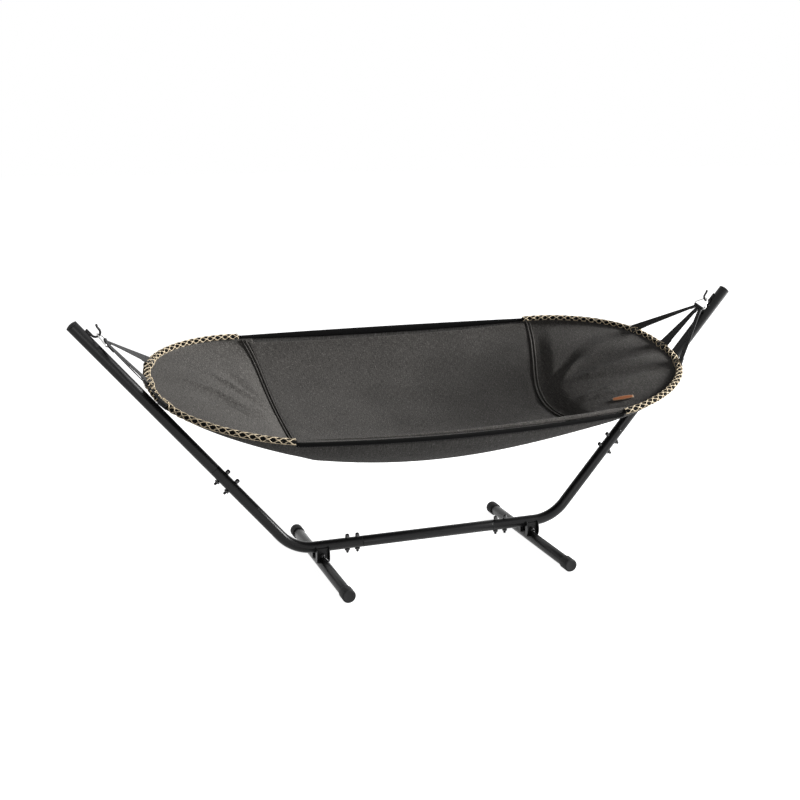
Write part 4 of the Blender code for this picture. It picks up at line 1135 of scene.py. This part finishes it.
def make_panel():
    """The padded middle panel: its top face is blown up between its sewn edges."""
    across = np.radians(np.linspace(-86.0, 86.0, 61))
    along = np.linspace(0.0, 1.0, 73)
    top = panel_rows(PANEL_TOP, across, along)
    bottom = panel_rows(PANEL_UNDER, across, along)
    r, c = np.indices(top.shape[:2])
    border = np.minimum(np.minimum(r, r[::-1]), np.minimum(c, c[:, ::-1]))
    rounded = np.sqrt(np.clip(border / 2.0, 0.0, 1.0))[..., None]
    top = bottom + (top - bottom) * (0.62 + 0.38 * rounded)
    waves = panel_waves(top[..., 0], np.broadcast_to(across, top.shape[:2]))
    top[..., 2] += waves * np.clip(border / 5.0, 0.0, 1.0)
    upper = skin_mesh("padded_panel", to_world(top))
    lower = skin_mesh("panel_under", to_world(bottom[:, ::-1]))
    with editing(upper) as bm:
        top_verts = len(bm.verts)
        bm.from_mesh(lower)
        bm.verts.ensure_lookup_table()
        bmesh.ops.bridge_loops(bm, edges=[e for e in bm.edges if e.is_boundary])
        bmesh.ops.recalc_face_normals(bm, faces=bm.faces)
    upper.shade_smooth()
    obj = linked("padded_panel", upper)
    # The panel takes the darker copy of the inner cloth: painted shade.
    upper.materials.append(FINISHES["panel_cloth"])
    blow_up(obj, top_verts, border.ravel())
    subdivision = obj.modifiers.new("smooth", "SUBSURF")
    subdivision.levels = 1
    subdivision.render_levels = 1
    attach(obj, "bed")
    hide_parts("inner_panel")


def blow_up(obj, top_verts, border):
    """A short cloth simulation: air under the top face, which is sewn down all round.

    It gives the crown its outline; the height is scaled down to that of the padding.
    """
    scene = bpy.context.scene
    rest = np.array([v.co[:] for v in obj.data.vertices])
    group = obj.vertex_groups.new(name="sewn")
    for i in range(len(rest)):
        free = i < top_verts and border[i] >= 2
        group.add([i], 0.0 if free else 1.0, "REPLACE")
    cloth = obj.modifiers.new("air", "CLOTH")
    for key, value in AIR_SETTINGS.items():
        setattr(cloth.settings, key, value)
    cloth.settings.effector_weights.gravity = 0.0
    cloth.collision_settings.use_self_collision = False
    for number in range(1, AIR_FRAMES + 1):
        scene.frame_set(number)
        bpy.context.view_layer.update()
    blown = obj.evaluated_get(bpy.context.evaluated_depsgraph_get()).data
    moved = np.array([v.co[:] for v in blown.vertices])
    obj.modifiers.remove(cloth)
    scene.frame_set(1)
    shift = moved - rest
    size = np.linalg.norm(shift, axis=1, keepdims=True)
    shift = shift * AIR_CAP * np.tanh(size / AIR_SCALE) / np.maximum(size, 1e-9)
    print(f"PANEL greatest shift {1000 * size.max():.1f} mm, kept to {1000 * AIR_CAP:.1f} mm")
    obj.data.vertices.foreach_set("co", (rest + shift).ravel())
    obj.data.update()


def make_welts():
    """Piped seams between the middle panel and the ends."""
    across = np.radians(np.linspace(-88.0, 88.0, 127))
    for word, side in SIDES.items():
        for number, (step, lift, radius) in enumerate(WELTS, 1):
            x = seam_x(side, across) + side * step
            points = to_world(cloth_point(x, across, SHELL_FACE + lift))
            mesh = swept_mesh(f"piping_{word}_{number}", points, radius, 12, round_ends=0.001)
            new_object(mesh, "inner_cloth", "bed")
        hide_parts(f"welt_{word}")
        x = seam_x(side, across) + side * 0.0040
        stitched(f"seam_stitches_{word}", [to_world(cloth_point(x, across, SHELL_FACE + 0.0010))])


def hem_line(x, y_side):
    width, drop = half_width(x)
    return np.stack([x, y_side * width, -drop], -1)


def make_hems():
    """The black bound edges along both sides, and the lining's roll above the front one."""
    made = []
    x = np.linspace(-HEM_X, HEM_X, 121)
    middle = 1.0 - (np.abs(x) / HEM_X) ** 2
    a = full_turn(20)
    c, s = np.cos(a), np.sin(a)
    for word, y_side in ENDS.items():
        half, half_rise, drop, drop_rise = HEM_FORMS[word]
        half = (half + half_rise * middle)[:, None]
        drop = (drop + drop_rise * middle)[:, None]
        wobble = HEM_WOBBLE_SHARE * np.sin(x[:, None] / 0.009 + 2.0 * a)
        y = HEM_THICK * np.copysign(np.abs(c) ** 0.6, c) * (1.0 + wobble)
        z = half * np.copysign(np.abs(s) ** 0.75, s) - drop
        line = hem_line(x, y_side)
        rows = line[:, None] + np.stack([0.0 * y, y, z], -1)
        mesh = skin_mesh(f"bound_hem_{word}", to_world(rows), around=True, caps=True)
        made.append(new_object(mesh, "binding", "bed", f"hem_{word}"))
        offset = np.array((0.0, y_side * HEM_SEAM[0], HEM_SEAM[1]))
        made.append(stitched(f"hem_stitches_{word}", [to_world(line + offset)], "black_thread"))
    x = np.linspace(*ROLL_ENDS, 141)
    bulge = ROLL_BULGE * np.exp(-((x - ROLL_BULGE_X) / 0.026) ** 2)
    swell = ROLL_RIGHT * smoothstep(-0.10, 0.235, x) + bulge
    taper = np.sqrt(np.sin(np.pi * np.clip((x + 0.218) / 0.485, 0.02, 0.98)))
    radii = (ROLL_RADIUS + swell) * taper
    width, drop = half_width(x)
    line = np.stack([x, -(width - 0.0030 - 0.4 * radii), -drop + 0.0002 + 0.35 * radii], -1)
    mesh = swept_mesh("lining_roll", to_world(line), radii, 16, round_ends=0.002)
    made.append(new_object(mesh, "inner_cloth", "bed"))
    return made


def ellipse_place(path, distance, turn, grow=0.0):
    """A point on the bow's bundle, turned round it from outward towards up."""
    place, _, outward, upward = path.frame(distance)
    wide = (BUNDLE_WIDE + grow) * np.cos(turn)
    high = (BUNDLE_HIGH + grow) * np.sin(turn)
    return place + wide[..., None] * outward + high[..., None] * upward


def even_turns():
    """Turns round the net's girth, and the length along it up to each."""
    turns = np.linspace(0.0, 2.0 * math.pi, 721)
    x = (BUNDLE_WIDE + NET_CORD) * np.cos(turns)
    y = (BUNDLE_HIGH + NET_CORD) * np.sin(turns)
    return turns, summed(np.hypot(np.diff(x), np.diff(y)))


def make_bow_bundles():
    """The bow's stiff core wrapped in black binding."""
    turns = full_turn(24)
    for word, path in PATHS.items():
        d = np.linspace(-path.half - 0.0004, path.half + 0.0004, 181)
        rows = []
        for i, distance in enumerate(d):
            share = math.sqrt(min(1.0, 0.35 + min(i, len(d) - 1 - i) / 6.0))
            ring = ellipse_place(path, np.full(24, distance), turns)
            middle = ring.mean(0)
            rows.append(middle + (ring - middle) * share)
        mesh = skin_mesh(f"bow_bundle_{word}", to_world(rows), around=True, caps=True)
        new_object(mesh, "binding", "bed", f"bow_{word}")


def make_nets():
    """The laced net round each bow: cords that zigzag and kiss their neighbours."""
    turns, run = even_turns()
    girth = run[-1]
    spacing = girth / NET_CORDS
    swing = spacing / 2 - NET_OVERLAP * NET_CORD
    turned = float(np.interp(NET_FACING, turns, run))
    for word, path in PATHS.items():
        cells = round(2 * (path.half - NET_END) / NET_PITCH)
        steps = cells * NET_STEPS
        d = np.linspace(-path.half + NET_END, path.half - NET_END, steps + 1)
        phase = 2.0 * math.pi * np.arange(steps + 1) / NET_STEPS
        wave = np.tanh(NET_ROUNDING * np.sin(phase + NET_PHASE)) / math.tanh(NET_ROUNDING)
        over = sum(smoothstep(*NET_OVER_STRAP, np.abs(d - spot * STRAP_SPREAD)) for spot in (-1, 0, 1))
        bare = smoothstep(*NET_ASIDE, np.abs(d + STRAP_SPREAD))
        lines = []
        for k in range(NET_CORDS):
            reach = turned + (k + 0.5) * spacing + (-1) ** k * swing * wave
            turn = np.interp(reach % girth, run, turns)
            turn = (turn + math.pi) % (2.0 * math.pi) - math.pi
            least = math.radians(NET_ASIDE_TURNS[k % 3])
            aside = np.copysign(np.maximum(np.abs(turn), least), turn)
            turn = turn + (aside - turn) * bare
            lines.append(to_world(ellipse_place(path, d, turn, NET_CORD * 0.75 + NET_LIFT * over)))
        sizes = {"Cord radius": NET_CORD, "Sides": 6}
        grown(f"net_{word}", lines, CORDS, sizes, "cord", f"lacing_{word}")


# Straps and rings

def hook_point(side):
    """The middle of a hook's bend, in the bed's own space."""
    place = arm_place(side, POST_END - HOOK_BOTTOM, HOOK_LEG + HOOK_BEND)
    return np.array((place.x, 0.0, 0.0))


def pull_direction(side):
    """The way the straps pull: from a hook to the tip of its bow."""
    return unit(np.array((side * TIP_X, 0.0, -TIP_DROP)) - hook_point(side))


def make_rings():
    """Triangular wire rings on the hooks."""
    apex_y = -(HOOK_WIRE + RING_WIRE + 2 * GAP) + RING_APEX_RADIUS
    corner_x = RING_HALF_WIDTH - RING_CORNER_RADIUS
    corner_y = RING_LENGTH - RING_CORNER_RADIUS
    side_length = math.hypot(corner_x, corner_y - apex_y)
    slope = math.atan2(corner_x, corner_y - apex_y)
    turn = math.degrees(slope + math.asin((RING_APEX_RADIUS - RING_CORNER_RADIUS) / side_length))
    flat = arc((0.0, apex_y), RING_APEX_RADIUS, 180.0 + turn, 360.0 - turn, 16)
    flat += arc((corner_x, corner_y), RING_CORNER_RADIUS, -turn, 90.0, 14)
    flat += arc((-corner_x, corner_y), RING_CORNER_RADIUS, 90.0, 180.0 + turn, 14)
    for word, side in SIDES.items():
        points = [hook_point(side) + BACK * u + pull_direction(side) * v for u, v in flat]
        mesh = swept_mesh(f"wire_ring_{word}", to_world(points), RING_WIRE, 16, cyclic=True)
        new_object(mesh, "ring_steel", "bed", f"ring_{word}")


def strap_line(length):
    """The tape seen edge on: tail, loop on the bow, free run, loop on the ring, tail."""
    ply = STRAP_THICKNESS / 2 + 0.00002
    bow_loop = STRAP_BORE + STRAP_THICKNESS / 2
    ring_loop = RING_WIRE + GAP + STRAP_THICKNESS / 2
    wide = math.degrees(math.asin(ply / bow_loop))
    narrow = math.degrees(math.asin(ply / ring_loop))
    low = np.linspace(STRAP_LEAVE, STRAP_TAIL, 6)
    high = np.linspace(length - STRAP_RING_TAIL, length - STRAP_RING_LEAVE, 5)
    run = np.linspace(STRAP_TAIL, length - STRAP_RING_TAIL, 22)[1:-1]
    return [*((u, -ply) for u in low[::-1]),
            *arc((0.0, 0.0), bow_loop, 360.0 - wide, wide, 28),
            *((u, ply) for u in (*low, *run, *high)),
            *arc((length, 0.0), ring_loop, 180.0 - narrow, narrow - 180.0, 22),
            *((u, -ply) for u in high[::-1])]


def make_straps():
    """Webbing looped round the bow and the ring, sewn down at both ends."""
    for word, side in SIDES.items():
        for number, spot in enumerate(("front", "middle", "back"), -1):
            start, tangent, outward, upward = PATHS[word].frame(number * STRAP_SPREAD)
            bar = hook_point(side) + pull_direction(side) * RING_LENGTH + BACK * number * RING_SPACING
            line = bar - start
            length = float(np.linalg.norm(line))
            leave = unit(line - line.dot(tangent) * tangent)
            arrive = unit(line - line.dot(BACK) * BACK)
            first = start + leave * STRAP_LEAVE
            last = bar - arrive * STRAP_RING_LEAVE

            def ribbon(u, v, places):
                run = length - STRAP_RING_LEAVE - STRAP_LEAVE
                share = float(np.clip((u - STRAP_LEAVE) / run, 0.0, 1.0))
                turned = float(smoothstep(0.0, 1.0, share))
                across = unit(tangent + (BACK - tangent) * turned)
                normal = side * unit(np.cross(leave + (arrive - leave) * turned, across))
                if share <= 0.0 and math.hypot(u, v) < STRAP_LEAVE - 1e-6:
                    way = unit(leave * u + normal * v)
                    reach = 1.0 / math.hypot(way.dot(outward) / (BUNDLE_WIDE + STRAP_SNUG),
                                             way.dot(upward) / (BUNDLE_HIGH + STRAP_SNUG))
                    return start + way * reach + np.outer(places * STRAP_WIDTH, across)
                if share <= 0.0:
                    centre = start + leave * u
                elif share >= 1.0:
                    centre = bar + arrive * (u - length)
                else:
                    centre = first + (last - first) * share
                wide = STRAP_WIDTH + (STRAP_RING_WIDTH - STRAP_WIDTH) * share
                return centre + normal * v + np.outer(places * wide, across)

            rows = [ribbon(u, v, np.linspace(-0.5, 0.5, 7)) for u, v in strap_line(length)]
            obj = new_object(skin_mesh(f"webbing_{word}_{spot}", to_world(rows)), "webbing", "bed")
            thicken(obj, STRAP_THICKNESS)
            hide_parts(f"strap_{word}_{spot}")
            lift = STRAP_THICKNESS + 0.0001
            lines = [to_world(ribbon(u, v, np.linspace(-0.42, 0.42, 9)))
                     for u in (STRAP_LEAVE + 0.003, STRAP_TAIL - 0.002, length - STRAP_RING_TAIL + 0.002)
                     for v in (lift, -lift)]
            stitched(f"strap_stitches_{word}_{spot}", lines, "black_thread", 0.0016, 0.0012, 0.00022)


def make_tab():
    """The bare tab sewn on the front side of the right end's lining."""
    v, u = np.meshgrid(np.linspace(-1.0, 1.0, 15), np.linspace(-1.0, 1.0, 33), indexing="ij")
    narrowing = 1.0 - 0.45 * np.abs(u) ** 2.4
    du = u * TAB_LENGTH / 2
    dv = v * narrowing * TAB_WIDTH / 2
    x = TAB_X + du * math.cos(TAB_TURN) - dv * math.sin(TAB_TURN)
    y = TAB_Y + du * math.sin(TAB_TURN) + dv * math.cos(TAB_TURN)
    angle = np.arcsin(np.clip(y / (half_width(x)[0] - 0.0010), -1.0, 1.0))
    mesh = skin_mesh("sewn_tab", to_world(cloth_point(x, angle, 0.0028, ridges=True)))
    rim = mesh.attributes.new("rim", "FLOAT", "POINT")
    rim.data.foreach_set("value", np.maximum(np.abs(u) ** 14, np.abs(v) ** 5).ravel())
    obj = new_object(mesh, "label", "bed")
    thicken(obj, 0.0011, 1.0)
    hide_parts("label_tab")
    return obj


make_tubes()
make_caps()
make_bolts()
make_hooks()
make_saddle_covers()
shell, shell_rows = make_outer_shell()
linings = make_linings()
make_panel()
make_welts()
hems = make_hems()
make_bow_bundles()
make_nets()
make_rings()
make_straps()
tab = make_tab()


# Floor, light and camera

def shown_white(nodes, kind, plain, white):
    """Shows white to the camera and in reflections, and lights the scene with plain."""
    mixed = nodes.node("ShaderNodeMixShader", {0: nodes.seen_directly(), 1: plain, 2: white})
    nodes.node(kind, {"Surface": mixed})


def make_stage():
    """A pale matte floor under a white world; the camera sees both near white, shadows kept."""
    f = Finish("pale_floor")
    plain = f.node("ShaderNodeBsdfDiffuse", {"Color": FLOOR_GREY})
    glow = f.node("ShaderNodeEmission", {"Color": WHITE, "Strength": FLOOR_GLOW})
    shown_white(f, "ShaderNodeOutputMaterial", plain, f.node("ShaderNodeAddShader", {0: plain, 1: glow}))
    ends = (-FLOOR_REACH, FLOOR_REACH)
    mesh = skin_mesh("floor", [[(x, y, 0.0) for x in ends] for y in ends])
    mesh.materials.append(f.material)
    world = bpy.data.worlds.new("studio")
    bpy.context.scene.world = world
    world.use_nodes = True
    f = Nodes(world.node_tree)
    soft, white = (f.node("ShaderNodeBackground", {"Color": WHITE, "Strength": light})
                   for light in (WORLD_LIGHT, 1.0))
    shown_white(f, "ShaderNodeOutputWorld", soft, white)
    linked("floor", mesh)


def lamp(name, place, size, power):
    """A rectangular area lamp that faces the bed."""
    data = bpy.data.lights.new(name, "AREA")
    data.shape = "RECTANGLE"
    data.size, data.size_y = size
    data.energy = power
    aimed(linked(name, data), place, Vector(LAMP_TARGET) - Vector(place))


def aimed(obj, place, aim):
    """Puts a lamp or camera at a place and turns it along a direction."""
    obj.location = place
    obj.rotation_euler = aim.to_track_quat("-Z", "Y").to_euler()


def make_camera():
    """The camera of the photograph."""
    data = bpy.data.cameras.new("camera")
    data.lens = CAMERA_LENS
    data.sensor_width = 36.0
    camera = linked("camera", data)
    level = math.cos(CAMERA_PITCH)
    aimed(camera, CAMERA_PLACE, Vector((math.sin(CAMERA_YAW) * level, math.cos(CAMERA_YAW) * level,
                                        -math.sin(CAMERA_PITCH))))
    bpy.context.scene.camera = camera


make_stage()
lamp("key", place=(2.6, -0.5, 1.14), size=(0.8, 0.8), power=182.0)
lamp("fill", place=(-0.6, -2.8, 0.5), size=(1.8, 0.9), power=14.0)
make_camera()
bpy.context.scene.view_settings.view_transform = "Standard"
bpy.context.view_layer.update()
